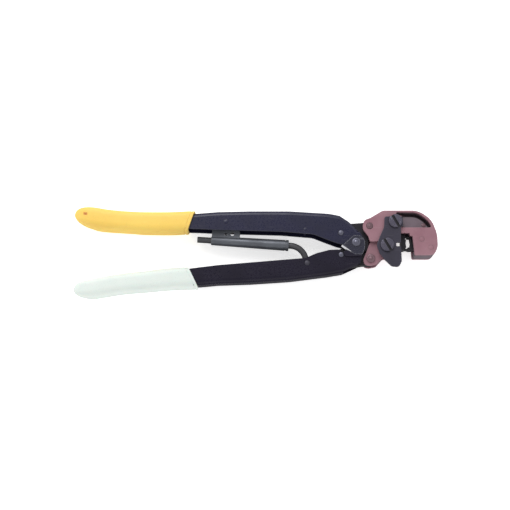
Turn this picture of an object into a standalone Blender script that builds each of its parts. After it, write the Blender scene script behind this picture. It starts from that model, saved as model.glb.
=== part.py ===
"""Long-handled ratchet crimping tool with a C-shaped head, a compound linkage and two grips.

Frame: +X runs from the handles to the head, +Z is the thickness, and the origin is the
foot of the main pivot pin, on the plane the tool lies on. Working sizes are millimetres,
turned into metres when a mesh is made.
"""

import math

import bpy
import bmesh
from mathutils import Matrix, Vector

MM = 0.001

# Driving dimensions, in millimetres and degrees.
MID = 10.2              # height of the tool's middle plane above the table
CLEARANCE = 0.3         # gap left between neighbouring pieces
LEVER_HALF = 4.0        # half thickness of the levers, the jaw block and the dies
JAW_PLATE = 2.6         # thickness of one side plate of the moving jaw
FRAME_PLATE = 3.0       # thickness of one plate of the C frame
COVER_PLATE = 2.0       # thickness of the black cover plate
SHEET = 1.6             # sheet thickness of the two handle channels
CHANNEL_HALF = 8.2      # half width of a handle channel over its flanges
PIN_LUG = 2.25          # radius of the two lug pins
PIN_MAIN = 2.6          # radius of the main pivot pin
PIN_SMALL = 1.7         # radius of handle rivets and ratchet pins
SCREW_SHANK = 2.5       # radius of the two slotted screws
SCREW_HEAD = 5.1        # head radius of the slotted screws
ROD = 2.3               # radius of the ratchet rod
TOOTH_PITCH = 1.5       # spacing of the ratchet teeth
TOOTH_COUNT = 8
HOUSING_TILT = -3.8     # slope of the ratchet housing, degrees
HOUSING_HALF = 29.5     # half length of the ratchet housing
HOUSING_ENDS = (3.5, 4.2)       # radius of the housing at its two ends

MAIN = (0.0, 0.0)               # main pivot, joining the two handles
UPPER_LUG = (10.38, 12.48)      # upper handle to C frame
LOWER_LUG = (11.02, -11.92)     # lower handle to moving jaw
JAW = (29.6, 15.6)              # moving jaw to C frame
CLAMP = (23.1, -2.6)            # screw that clamps the moving jaw together
HANGER = (-98.0, 16.0)          # ratchet housing to upper handle
ROD_END = (-36.9, -15.5)        # ratchet rod to lower handle
HOUSING = (-80.0, 1.2)          # centre of the ratchet housing

JAW_Z = LEVER_HALF + CLEARANCE              # inner face of the jaw side plates
FRAME_Z = JAW_Z + JAW_PLATE + CLEARANCE     # inner face of the frame plates
FRAME_OUT = FRAME_Z + FRAME_PLATE
COVER_Z = FRAME_OUT + CLEARANCE
FLANGE_Z = CHANNEL_HALF - SHEET
EAR_Z = CHANNEL_HALF + CLEARANCE


def clear_scene():
    """Remove every object the scene starts with."""
    for obj in list(bpy.data.objects):
        bpy.data.objects.remove(obj, do_unlink=True)


def material(name, colour, metallic, roughness):
    """Return a new Principled material."""
    mat = bpy.data.materials.new(name)
    mat.use_nodes = True
    shader = mat.node_tree.nodes["Principled BSDF"]
    shader.inputs["Base Color"].default_value = (*colour, 1.0)
    shader.inputs["Metallic"].default_value = metallic
    shader.inputs["Roughness"].default_value = roughness
    mat.diffuse_color = (*colour, 1.0)
    return mat


def make_object(name, bm, look, origin=MAIN):
    """Turn a bmesh in millimetres into an object whose origin lies on its joint axis."""
    bmesh.ops.recalc_face_normals(bm, faces=bm.faces)
    bmesh.ops.translate(bm, verts=bm.verts, vec=(-origin[0], -origin[1], 0.0))
    bmesh.ops.scale(bm, verts=bm.verts, vec=(MM, MM, MM))
    mesh = bpy.data.meshes.new(name)
    bm.to_mesh(mesh)
    bm.free()
    obj = bpy.data.objects.new(name, mesh)
    obj.location = (origin[0] * MM, origin[1] * MM, 0.0)
    bpy.context.scene.collection.objects.link(obj)
    mesh.materials.append(look)
    return obj


def rounded(corners, steps=4):
    """Return an outline from (x, y, radius) corners, each rounded by its own radius."""
    points = []
    count = len(corners)
    for i, (x, y, radius) in enumerate(corners):
        here = Vector((x, y))
        if radius <= 0:
            points.append((x, y))
            continue
        before = (Vector(corners[i - 1][:2]) - here).normalized()
        after = (Vector(corners[(i + 1) % count][:2]) - here).normalized()
        half = before.angle(after) / 2
        centre = here + (before + after).normalized() * radius / math.sin(half)
        start = here + before * radius / math.tan(half) - centre
        end = here + after * radius / math.tan(half) - centre
        turn = math.atan2(start.cross(end), start.dot(end))
        for k in range(steps + 1):
            spoke = Matrix.Rotation(turn * k / steps, 2) @ start
            points.append((centre.x + spoke.x, centre.y + spoke.y))
    return points


def circle(centre, radius, segments=28):
    """Return the outline of a circle."""
    return [
        (centre[0] + radius * math.cos(math.tau * k / segments),
         centre[1] + radius * math.sin(math.tau * k / segments))
        for k in range(segments)
    ]


def local(u, v, tilt=HOUSING_TILT, centre=HOUSING):
    """Return the world point at (u, v) along and across the ratchet housing."""
    c, s = math.cos(math.radians(tilt)), math.sin(math.radians(tilt))
    return centre[0] + u * c - v * s, centre[1] + u * s + v * c


PAWL = local(-18.6, 5.2)        # pivot of the pawl, inside the hanger


def add_prism(bm, outline, z0, z1):
    """Add an upright prism between two heights measured from the middle plane."""
    low = [bm.verts.new((x, y, MID + z0)) for x, y in outline]
    high = [bm.verts.new((x, y, MID + z1)) for x, y in outline]
    bm.faces.new(reversed(low))
    bm.faces.new(high)
    for i, vert in enumerate(low):
        j = (i + 1) % len(low)
        bm.faces.new((vert, low[j], high[j], high[i]))


def add_tube(bm, path, radius, segments=20, up=Vector((0, 0, 1)), end_radius=None):
    """Add a round bar that follows a path of points, tapering if an end radius is given."""
    points = [Vector(p) for p in path]
    rings = []
    for i, point in enumerate(points):
        ahead = points[min(i + 1, len(points) - 1)] - points[max(i - 1, 0)]
        ahead.normalize()
        side = ahead.cross(up).normalized()
        rise = side.cross(ahead)
        share = i / (len(points) - 1)
        size = radius if end_radius is None else radius + (end_radius - radius) * share
        rings.append([
            bm.verts.new(point + size * (side * math.cos(math.tau * k / segments)
                                           + rise * math.sin(math.tau * k / segments)))
            for k in range(segments)
        ])
    bm.faces.new(rings[0])
    bm.faces.new(rings[-1])
    for near, far in zip(rings, rings[1:]):
        for k in range(segments):
            n = (k + 1) % segments
            bm.faces.new((near[k], near[n], far[n], far[k]))


def prism(name, outline, z0, z1, look, origin=MAIN):
    """Return an object made of one prism."""
    bm = bmesh.new()
    add_prism(bm, outline, z0, z1)
    return make_object(name, bm, look, origin)


def stack(name, layers, look, origin=MAIN):
    """Return a round piece built from (radius, z) steps about a centre, bottom to top."""
    centre, steps = layers
    bm = bmesh.new()
    segments = 28
    rings = [
        [bm.verts.new((x, y, MID + z)) for x, y in circle(centre, radius, segments)]
        for radius, z in steps
    ]
    bm.faces.new(rings[0])
    bm.faces.new(rings[-1])
    for near, far in zip(rings, rings[1:]):
        for k in range(segments):
            n = (k + 1) % segments
            bm.faces.new((near[k], near[n], far[n], far[k]))
    return make_object(name, bm, look, origin)


def boolean(target, operation, tools):
    """Apply live exact booleans to the target and hide the tools from renders."""
    for tool in tools:
        step = target.modifiers.new(tool.name, "BOOLEAN")
        step.operation = operation
        step.solver = "EXACT"
        step.object = tool
        tool.hide_render = True
        tool.display_type = "WIRE"


def cutter(name, outline, z0, z1):
    """Return a prism used only as a boolean tool."""
    return prism("tool_" + name, outline, z0, z1, TOOL)


def bore(name, centre, radius, z0=-12.0, z1=16.0):
    """Return a round cutter, as deep as the whole tool unless told otherwise."""
    return cutter(name, circle(centre, radius), z0, z1)


def washer(name, centre, outer, inner, z0, z1, look, origin):
    """Return a flat ring."""
    ring = prism(name, circle(centre, outer), z0, z1, look, origin)
    boolean(ring, "DIFFERENCE", [bore(name, centre, inner, z0 - 1, z1 + 1)])
    return ring


TOOL = None

FRAME_LEFT = [
    (5.6, 9.6, 2.5), (9.2, 4.5, 3.0), (10.4, 0.5, 1.0), (16.5, 0.5, 1.2), (18.2, 5.2, 1.5),
    (30.0, 5.2, 1.0), (31.5, 7.0, 1.0),
]
FRAME_RIGHT = [
    (43.9, -9.75, 1.0), (58.6, -9.75, 4.2), (61.4, -3.6, 10.0), (61.1, 6.5, 20.0),
    (57.2, 17.2, 14.0), (47.5, 24.3, 14.0), (20.4, 24.3, 6.0), (11.0, 18.6, 4.0),
    (6.2, 16.8, 3.5), (5.2, 12.5, 3.0),
]
FRAME_FRONT = FRAME_LEFT + [(40.4, 7.0, 0.4), (40.4, 4.9, 0.4), (42.5, 4.9, 0.5)] + FRAME_RIGHT
FRAME_BACK = FRAME_LEFT + [(42.6, 7.0, 1.0)] + FRAME_RIGHT
NOSE_WINDOW = [
    (34.8, 11.2, 0.6), (57.0, 11.2, 1.0), (55.4, 16.0, 12.0), (46.9, 23.0, 12.5),
    (30.6, 23.0, 0.8), (30.6, 20.4, 0.8), (34.8, 20.4, 0.8),
]
NOSE_OUTLINE = [
    (27.0, 24.3, 0.0), (27.0, 23.0, 0.4), (36.0, 23.0, 0.6), (36.0, 11.4, 1.0),
    (42.4, 9.2, 0.6), (43.2, 7.8, 0.4), (52.3, 7.8, 0.8),
    (52.3, -5.3, 0.6), (44.3, -5.3, 0.5), (44.3, -9.75, 0.8), (58.6, -9.75, 4.2),
    (61.4, -3.6, 10.0), (61.1, 6.5, 20.0), (57.2, 17.2, 14.0), (47.5, 24.3, 14.0),
]
JAW_OUTLINE = [
    (5.5, -12.6, 2.6), (7.6, -7.6, 2.5), (10.4, -0.6, 3.0), (17.0, 6.0, 3.0),
    (20.5, 20.8, 4.0), (34.6, 20.8, 4.0), (34.6, 9.0, 2.0), (32.3, 1.5, 2.0),
    (32.3, -9.6, 1.0), (20.8, -10.6, 2.0), (15.6, -16.4, 2.6), (10.6, -17.4, 3.0),
    (6.2, -16.6, 3.0),
]
BLOCK_OUTLINE = [
    (17.6, -8.8, 1.0), (27.2, -8.8, 0.0), (27.2, 6.0, 0.0), (30.6, 6.0, 0.0), (34.2, 9.6, 1.5),
    (34.2, 20.6, 4.0), (22.6, 20.6, 4.0), (17.6, 5.0, 2.0),
]
COVER_OUTLINE = [
    (15.2, -2.5, 5.0), (17.0, -8.5, 5.0), (21.0, -14.0, 5.0), (26.0, -18.9, 3.0),
    (31.6, -19.5, 2.6), (33.8, -15.0, 3.0), (33.5, -3.6, 0.3), (29.9, -3.6, 0.6),
    (29.9, -0.9, 0.6), (33.5, -0.9, 0.3), (33.6, 10.6, 1.0), (35.3, 12.2, 1.0),
    (35.3, 19.3, 1.2), (21.6, 19.3, 1.5), (21.0, 11.2, 5.0), (17.6, 3.6, 6.0),
]
SPACER_OUTLINE = [
    (18.4, -7.5, 2.0), (24.5, -14.0, 2.0), (29.4, -14.0, 2.0), (29.2, 2.0, 1.5), (18.2, 2.0, 2.0),
]
UPPER_OUTLINE = [
    (-188.0, 23.3, 0), (-160.0, 21.3, 30), (-140.0, 21.2, 30), (-118.0, 23.1, 30),
    (-104.0, 24.2, 30), (-80.0, 24.75, 0), (-50.0, 24.75, 40), (-20.0, 22.9, 30), (-11.4, 21.2, 3.0),
    (-4.6, 16.6, 10.0), (2.4, 9.2, 10.0), (6.2, 2.6, 5.0), (5.8, -3.4, 4.6),
    (-3.6, -5.8, 4.6), (-8.0, -1.9, 2.0), (-14.0, -0.4, 4.0),
    (-22.0, 2.6, 8.0), (-32.0, 6.6, 12.0), (-56.0, 8.6, 30), (-85.0, 9.4, 0), (-104.0, 9.9, 30),
    (-118.0, 10.6, 30), (-140.0, 11.2, 30), (-160.0, 11.3, 30), (-188.0, 13.3, 0),
]
UPPER_INSIDE = [
    (-192.0, 21.8, 0), (-160.0, 19.7, 30), (-140.0, 19.6, 30), (-118.0, 21.5, 30),
    (-104.0, 22.6, 30), (-80.0, 23.15, 0), (-50.0, 23.15, 40), (-20.0, 21.3, 30),
    (-11.8, 19.6, 0), (-10.4, 30.0, 0),
    (12.0, 30.0, 0), (12.0, -14.0, 0), (-192.0, -14.0, 0),
]
LOWER_OUTLINE = [
    (-188.0, -37.5, 0), (-188.0, -27.5, 0), (-160.0, -23.9, 30), (-140.0, -21.8, 30),
    (-118.0, -19.0, 30), (-104.0, -17.3, 0), (-60.0, -13.6, 30), (-38.0, -11.8, 12),
    (-30.0, -8.2, 8), (-20.0, -5.6, 6),
    (-13.0, -5.3, 3), (-10.0, -8.0, 2), (4.4, -8.6, 2.0), (3.0, -16.8, 4.0), (-9.0, -22.4, 10),
    (-22.0, -24.6, 30), (-50.0, -28.2, 40), (-80.0, -30.2, 30), (-104.0, -31.0, 30),
    (-118.0, -32.3, 30), (-140.0, -31.8, 30), (-160.0, -33.9, 30),
]
LOWER_INSIDE = [
    (-192.0, 14.0, 0), (-192.0, -36.3, 0), (-160.0, -32.3, 30), (-140.0, -30.2, 30),
    (-118.0, -30.7, 30), (-104.0, -29.4, 30), (-80.0, -28.6, 30), (-50.0, -26.6, 40), (-22.0, -23.0, 30),
    (-10.0, -20.4, 0), (-8.4, -32.0, 0), (12.0, -32.0, 0), (12.0, 14.0, 0),
]
EAR_OUTLINE = [
    (-9.4, -1.6, 1.0), (-4.6, 2.7, 3.0), (-1.8, 5.3, 3.0), (2.8, 5.3, 3.6), (6.6, 2.2, 3.6),
    (6.6, -4.2, 4.0), (4.4, -10.6, 1.5), (-8.6, -10.6, 2.0), (-10.6, -4.0, 2.0),
]
EAR_FOOT = [(-8.2, -7.2, 1.0), (4.9, -7.2, 0.8), (4.4, -10.6, 1.0), (-8.6, -10.6, 2.0)]
UPPER_LEVER = [
    (-34.0, 20.6, 2.0), (-34.0, 9.6, 2.0), (-10.5, 3.6, 2.5), (-8.0, -4.6, 4.0), (0.0, -9.4, 5.5),
    (8.2, -4.6, 4.5), (8.6, 5.0, 3.0), (15.4, 9.6, 4.5), (13.4, 17.6, 4.6), (5.2, 16.0, 5.0),
    (-8.6, 15.0, 6.0),
]
LOWER_LEVER = [
    (-31.0, -10.0, 2.0), (-31.0, -22.0, 2.0), (-9.0, -18.8, 6.0), (5.6, -16.4, 5.0),
    (13.8, -17.0, 4.6), (16.0, -8.8, 4.5), (8.6, -4.8, 3.0), (8.2, 4.6, 4.5), (0.0, 9.4, 5.5),
    (-8.0, 4.6, 4.0), (-10.5, -4.0, 2.5),
]
UPPER_GRIP = [
    (-213.4, 22.6, 1.0, 2.0), (-212.0, 22.4, 3.4, 5.0), (-208.9, 22.0, 5.6, 7.6),
    (-204.4, 21.2, 7.1, 9.2), (-199.9, 20.4, 7.8, 9.9), (-195.4, 19.4, 8.2, 10.2),
    (-188.0, 18.3, 8.0, 10.2), (-177.4, 17.4, 7.8, 10.2), (-168.4, 16.8, 7.8, 10.2),
    (-159.4, 16.3, 8.0, 10.2), (-141.4, 16.2, 8.1, 10.2), (-124.3, 16.8, 8.2, 10.2),
]
LOWER_GRIP = [
    (-212.9, -35.2, 1.0, 2.0), (-211.6, -35.0, 3.0, 5.0), (-208.9, -34.8, 4.8, 7.6),
    (-204.4, -34.6, 6.3, 9.2), (-199.9, -34.4, 6.9, 9.9), (-195.4, -33.7, 7.4, 10.2),
    (-188.0, -32.5, 7.5, 10.2), (-177.4, -30.7, 7.5, 10.2), (-168.4, -29.7, 7.6, 10.2),
    (-159.4, -28.9, 7.7, 10.2), (-141.4, -26.9, 8.0, 10.2), (-122.6, -26.2, 8.0, 10.2),
]


def build_frame(steel, dark):
    """C frame: two plates, the nose spacer between them, and the fixed die."""
    pins = {"upper_lug": (UPPER_LUG, PIN_LUG), "jaw": (JAW, SCREW_SHANK),
            "nose_upper": ((51.4, 13.5), PIN_SMALL), "nose_lower": ((56.4, -4.2), PIN_SMALL),
            "die_pin": ((49.5, 2.2), PIN_SMALL)}
    for side, z0, outline in (("front", FRAME_Z, FRAME_FRONT), ("back", -FRAME_OUT, FRAME_BACK)):
        plate = prism(f"frame_plate_{side}", rounded(outline), z0, z0 + FRAME_PLATE, steel)
        holes = [bore(f"{side}_{name}", centre, radius + CLEARANCE)
                 for name, (centre, radius) in pins.items()
                 if side == "back" or name != "nose_upper"]
        if side == "front":
            holes.append(cutter("nose_window", rounded(NOSE_WINDOW), FRAME_Z - 1, FRAME_OUT + 1))
        boolean(plate, "DIFFERENCE", holes)
    inner = FRAME_Z - CLEARANCE
    nose = prism("nose_spacer", rounded(NOSE_OUTLINE), -inner, inner, steel)
    boolean(nose, "DIFFERENCE", [
        bore("nose_a", pins["nose_upper"][0], PIN_SMALL + CLEARANCE),
        bore("nose_b", pins["nose_lower"][0], PIN_SMALL + CLEARANCE),
    ])
    for name in ("nose_upper", "nose_lower", "die_pin"):
        centre, radius = pins[name]
        label = {"nose_upper": "nose_rivet_upper", "nose_lower": "nose_rivet_lower",
                 "die_pin": "stationary_die_pin"}[name]
        top = inner + 0.3 if name == "nose_upper" else FRAME_OUT - 0.1
        stack(label, (centre, [(radius, -FRAME_OUT + 0.1), (radius, top)]), dark)

    die = prism("stationary_die", [(42.8, -5.0), (52.0, -5.0), (52.0, 7.4), (42.8, 7.4)],
                -LEVER_HALF, LEVER_HALF, dark)
    prongs = [(39.3, 7.4), (39.3, 4.5), (41.3, 4.5), (41.9, 0.8), (41.3, -2.9), (39.3, -2.9),
              (39.3, -5.0), (43.6, -5.0), (43.6, 7.4)]
    boolean(die, "UNION", [
        cutter("prong_front", prongs, 2.0, LEVER_HALF),
        cutter("prong_back", prongs, -LEVER_HALF, -2.0),
    ])
    boolean(die, "DIFFERENCE", [bore("die_pin", (49.5, 2.2), PIN_SMALL + CLEARANCE)])

    stack("upper_lug_pin", (UPPER_LUG, [
        (PIN_LUG - 0.4, -FRAME_OUT + 0.1), (PIN_LUG, -FRAME_OUT + 0.5),
        (PIN_LUG, FRAME_OUT + 0.2), (PIN_LUG - 0.4, FRAME_OUT + 0.6)]), dark)
    for side, sign in (("front", 1), ("back", -1)):
        z0, z1 = sorted((sign * JAW_Z, sign * (FRAME_Z - CLEARANCE)))
        washer(f"upper_lug_washer_{side}", UPPER_LUG, 4.6, PIN_LUG + CLEARANCE, z0, z1, dark, MAIN)
    screw("jaw_pivot_screw", JAW, -FRAME_OUT + 0.2, dark, MAIN)


def screw(name, centre, foot, look, origin):
    """Slotted screw whose head sits on the cover plate."""
    seat = COVER_Z + COVER_PLATE + CLEARANCE
    top = seat + 1.7
    body = stack(name, (centre, [
        (SCREW_SHANK, foot), (SCREW_SHANK, seat), (SCREW_HEAD, seat),
        (SCREW_HEAD, top - 0.4), (SCREW_HEAD - 0.4, top)]), look, origin)
    angle = math.radians(120)
    along = (math.cos(angle) * 6, math.sin(angle) * 6)
    side = (-math.sin(angle) * 0.65, math.cos(angle) * 0.65)
    slot = [(centre[0] + a * along[0] + b * side[0], centre[1] + a * along[1] + b * side[1])
            for a, b in ((-1, -1), (1, -1), (1, 1), (-1, 1))]
    boolean(body, "DIFFERENCE", [cutter(name + "_slot", slot, top - 1.0, top + 1)])
    return body


def build_jaw(steel, dark, black):
    """Moving jaw: side plates, block, moving die, and the cover plate clamped on top."""
    outline = rounded(JAW_OUTLINE)
    window = [(29.9, -3.6), (34.3, -3.6), (34.3, 3.2), (29.9, 3.2)]
    for side, z0, low, high in (("front", JAW_Z, -4.2, 1.2),
                                ("back", -JAW_Z - JAW_PLATE, -1.6, 3.4)):
        notch = [(29.9, low), (37.5, low), (37.5, high), (29.9, high)]
        plate = prism(f"jaw_side_plate_{side}", outline, z0, z0 + JAW_PLATE, steel, JAW)
        boolean(plate, "DIFFERENCE", [
            bore(f"{side}_plate_jaw", JAW, SCREW_SHANK + CLEARANCE),
            bore(f"{side}_plate_clamp", CLAMP, SCREW_SHANK + CLEARANCE),
            bore(f"{side}_plate_lug", LOWER_LUG, PIN_LUG + CLEARANCE),
            bore(f"{side}_plate_die", (29.6, -6.6), 1.2 + CLEARANCE),
            cutter(f"{side}_plate_window", notch, -12, 12),
        ])
    block = prism("jaw_block", rounded(BLOCK_OUTLINE), -LEVER_HALF, LEVER_HALF, dark, JAW)
    boolean(block, "DIFFERENCE", [
        bore("block_jaw", JAW, SCREW_SHANK + CLEARANCE),
        bore("block_clamp", CLAMP, SCREW_SHANK + CLEARANCE),
    ])
    die = prism("moving_die", [
        (27.5, -8.4), (32.0, -8.4), (33.4, -5.0), (36.9, -5.0), (36.9, -3.2), (38.4, -2.8),
        (37.9, 0.2), (38.4, 2.9), (37.6, 3.5), (37.7, 7.4), (33.2, 7.4), (31.8, 5.6),
        (27.5, 5.6)], -LEVER_HALF, LEVER_HALF, dark, JAW)
    horns = [
        cutter("horn_low", [(36.0, -5.0), (40.4, -5.0), (40.4, -3.4), (36.0, -3.4)], -1.6, 1.6),
        cutter("horn_high", [(36.0, 5.0), (40.4, 5.0), (40.4, 7.4), (36.0, 7.4)], -1.6, 1.6),
    ]
    boolean(die, "UNION", horns)
    boolean(die, "DIFFERENCE", [
        bore("die_hole", (29.6, -6.6), 1.2 + CLEARANCE),
        cutter("die_window", window, -12, 12),
    ])
    stack("moving_die_pin", ((29.6, -6.6), [(1.2, -JAW_Z - 2.4), (1.2, JAW_Z + 2.4)]), dark, JAW)
    spacer = prism("jaw_spacer", rounded(SPACER_OUTLINE), FRAME_Z, FRAME_OUT, dark, JAW)
    boolean(spacer, "DIFFERENCE", [bore("spacer_clamp", CLAMP, SCREW_SHANK + CLEARANCE)])
    cover = prism("jaw_cover_plate", rounded(COVER_OUTLINE), COVER_Z, COVER_Z + COVER_PLATE,
                  black, JAW)
    boolean(cover, "DIFFERENCE", [
        bore("cover_jaw", JAW, SCREW_SHANK + CLEARANCE),
        bore("cover_clamp", CLAMP, SCREW_SHANK + CLEARANCE),
    ])
    screw("jaw_clamp_screw", CLAMP, -JAW_Z - JAW_PLATE + 0.2, dark, JAW)
    outer = JAW_Z + JAW_PLATE + CLEARANCE
    stack("lower_lug_pin", (LOWER_LUG, [
        (PIN_LUG, -outer - 0.4), (PIN_LUG, outer), (PIN_LUG + 0.9, outer),
        (PIN_LUG + 0.9, outer + 0.9), (PIN_LUG + 0.4, outer + 1.3)]), dark, JAW)


def channel(name, outline, inside, holes, look, origin):
    """Handle channel: a bent-up sheet, open on the side that faces the other handle."""
    body = prism(name, rounded(outline), -CHANNEL_HALF, CHANNEL_HALF, look, origin)
    boolean(body, "DIFFERENCE", [cutter(name + "_inside", rounded(inside), -FLANGE_Z, FLANGE_Z)])
    boolean(body, "DIFFERENCE", [
        bore(f"{name}_{i}", centre, radius + CLEARANCE)
        for i, (centre, radius) in enumerate(holes)
    ])
    return body


def lever(name, outline, holes, lap, look, origin):
    """Forged lever fixed in a handle, half as thick where the two levers cross."""
    body = prism(name, rounded(outline), -LEVER_HALF, LEVER_HALF, look, origin)
    z0, z1 = (-6.0, CLEARANCE / 2) if lap > 0 else (-CLEARANCE / 2, 6.0)
    boolean(body, "DIFFERENCE", [cutter(name + "_lap", circle(MAIN, 9.8, 40), z0, z1)])
    boolean(body, "DIFFERENCE", [
        bore(f"{name}_{i}", centre, radius + CLEARANCE)
        for i, (centre, radius) in enumerate(holes)
    ])
    return body


def grip(name, stations, slant, pocket, look, origin):
    """Moulded grip lofted through (x, y, half height, half thickness) stations."""
    bm = bmesh.new()
    segments, power = 36, 0.54
    rings = []
    for i, (x, y, tall, thick) in enumerate(stations):
        lean = slant if i == len(stations) - 1 else 0.0
        ring = []
        for k in range(segments):
            c, s = math.cos(math.tau * k / segments), math.sin(math.tau * k / segments)
            dy = math.copysign(abs(c) ** power, c) * tall
            dz = math.copysign(abs(s) ** power, s) * thick
            ring.append(bm.verts.new((x + lean * dy, y + dy, MID + dz)))
        rings.append(ring)
    bm.faces.new(rings[0])
    bm.faces.new(rings[-1])
    for near, far in zip(rings, rings[1:]):
        for k in range(segments):
            n = (k + 1) % segments
            bm.faces.new((near[k], near[n], far[n], far[k]))
    body = make_object(name, bm, look, origin)
    room = CHANNEL_HALF + CLEARANCE
    boolean(body, "DIFFERENCE", [cutter(name + "_pocket", pocket, -room, room)])
    return body


def build_handles(upper_paint, lower_paint, steel, yellow, white):
    """Two handles: channel, lever, rivet and grip each, joined at the main pivot."""
    rivets = {"upper": (-11.25, 7.5), "lower": (-11.25, -9.2)}
    channel("upper_handle_channel", UPPER_OUTLINE, UPPER_INSIDE,
            [(MAIN, PIN_MAIN), (rivets["upper"], PIN_SMALL), (HANGER, PIN_SMALL),
             ((-38.0, 10.0), 1.2)], upper_paint, UPPER_LUG)
    lower = channel("lower_handle_channel", LOWER_OUTLINE, LOWER_INSIDE,
                    [(rivets["lower"], PIN_SMALL), (ROD_END, PIN_SMALL)], lower_paint, MAIN)
    ear, foot = rounded(EAR_OUTLINE), rounded(EAR_FOOT)
    top = EAR_Z + SHEET
    boolean(lower, "UNION", [
        cutter("foot_front", foot, FLANGE_Z + 0.2, top - 0.2),
        cutter("foot_back", foot, -top + 0.2, -FLANGE_Z - 0.2),
        cutter("ear_front", ear, EAR_Z, top), cutter("ear_back", ear, -top, -EAR_Z),
    ])
    boolean(lower, "DIFFERENCE", [bore("ear_hole", MAIN, PIN_MAIN + CLEARANCE)])

    lever("upper_handle_lever", UPPER_LEVER,
          [(MAIN, PIN_MAIN), (rivets["upper"], PIN_SMALL), (UPPER_LUG, PIN_LUG)], 1, steel,
          UPPER_LUG)
    lever("lower_handle_lever", LOWER_LEVER,
          [(MAIN, PIN_MAIN), (rivets["lower"], PIN_SMALL), (LOWER_LUG, PIN_LUG + 0.1)], -1, steel,
          MAIN)
    for side, origin in (("upper", UPPER_LUG), ("lower", MAIN)):
        end = CHANNEL_HALF + 0.7
        stack(f"{side}_handle_rivet", (rivets[side], [
            (PIN_SMALL - 0.4, -end), (PIN_SMALL, -end + 0.4), (PIN_SMALL, end - 0.4),
            (PIN_SMALL - 0.4, end)]), steel, origin)
    stack("stop_pin", ((-38.0, 10.0), [(1.2, -CHANNEL_HALF), (1.2, CHANNEL_HALF)]), steel,
          UPPER_LUG)

    room = CLEARANCE
    upper_pocket = [(-188.6, 13.2 - room), (-160.0, 11.3 - room), (-140.0, 11.1 - room),
                    (-118.0, 10.5 - room), (-110.0, 10.0 - room), (-110.0, 24.0 + room),
                    (-118.0, 23.1 + room), (-140.0, 21.3 + room), (-160.0, 21.3 + room),
                    (-188.6, 23.4 + room)]
    lower_pocket = [(-188.6, -37.6 - room), (-160.0, -33.9 - room), (-140.0, -31.9 - room),
                    (-118.0, -32.4 - room), (-110.0, -31.8 - room), (-110.0, -18.0 + room),
                    (-118.0, -18.9 + room), (-140.0, -21.7 + room), (-160.0, -23.9 + room),
                    (-188.6, -27.4 + room)]
    grip("upper_handle_grip", UPPER_GRIP, 0.34, upper_pocket, yellow, UPPER_LUG)
    grip("lower_handle_grip", LOWER_GRIP, -0.48, lower_pocket, white, MAIN)

    stack("main_pivot_pin", (MAIN, [
        (PIN_MAIN, -MID), (PIN_MAIN, EAR_Z + SHEET + CLEARANCE),
        (PIN_MAIN + 0.5, EAR_Z + SHEET + CLEARANCE), (PIN_MAIN + 0.5, EAR_Z + SHEET + 0.8),
        (PIN_MAIN, EAR_Z + SHEET + 1.2)]), steel, UPPER_LUG)
    for side, sign in (("front", 1), ("back", -1)):
        z0, z1 = sorted((sign * JAW_Z, sign * (FLANGE_Z - CLEARANCE)))
        washer(f"main_pivot_washer_{side}", MAIN, 5.2, PIN_MAIN + CLEARANCE, z0, z1, steel,
               UPPER_LUG)


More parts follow.
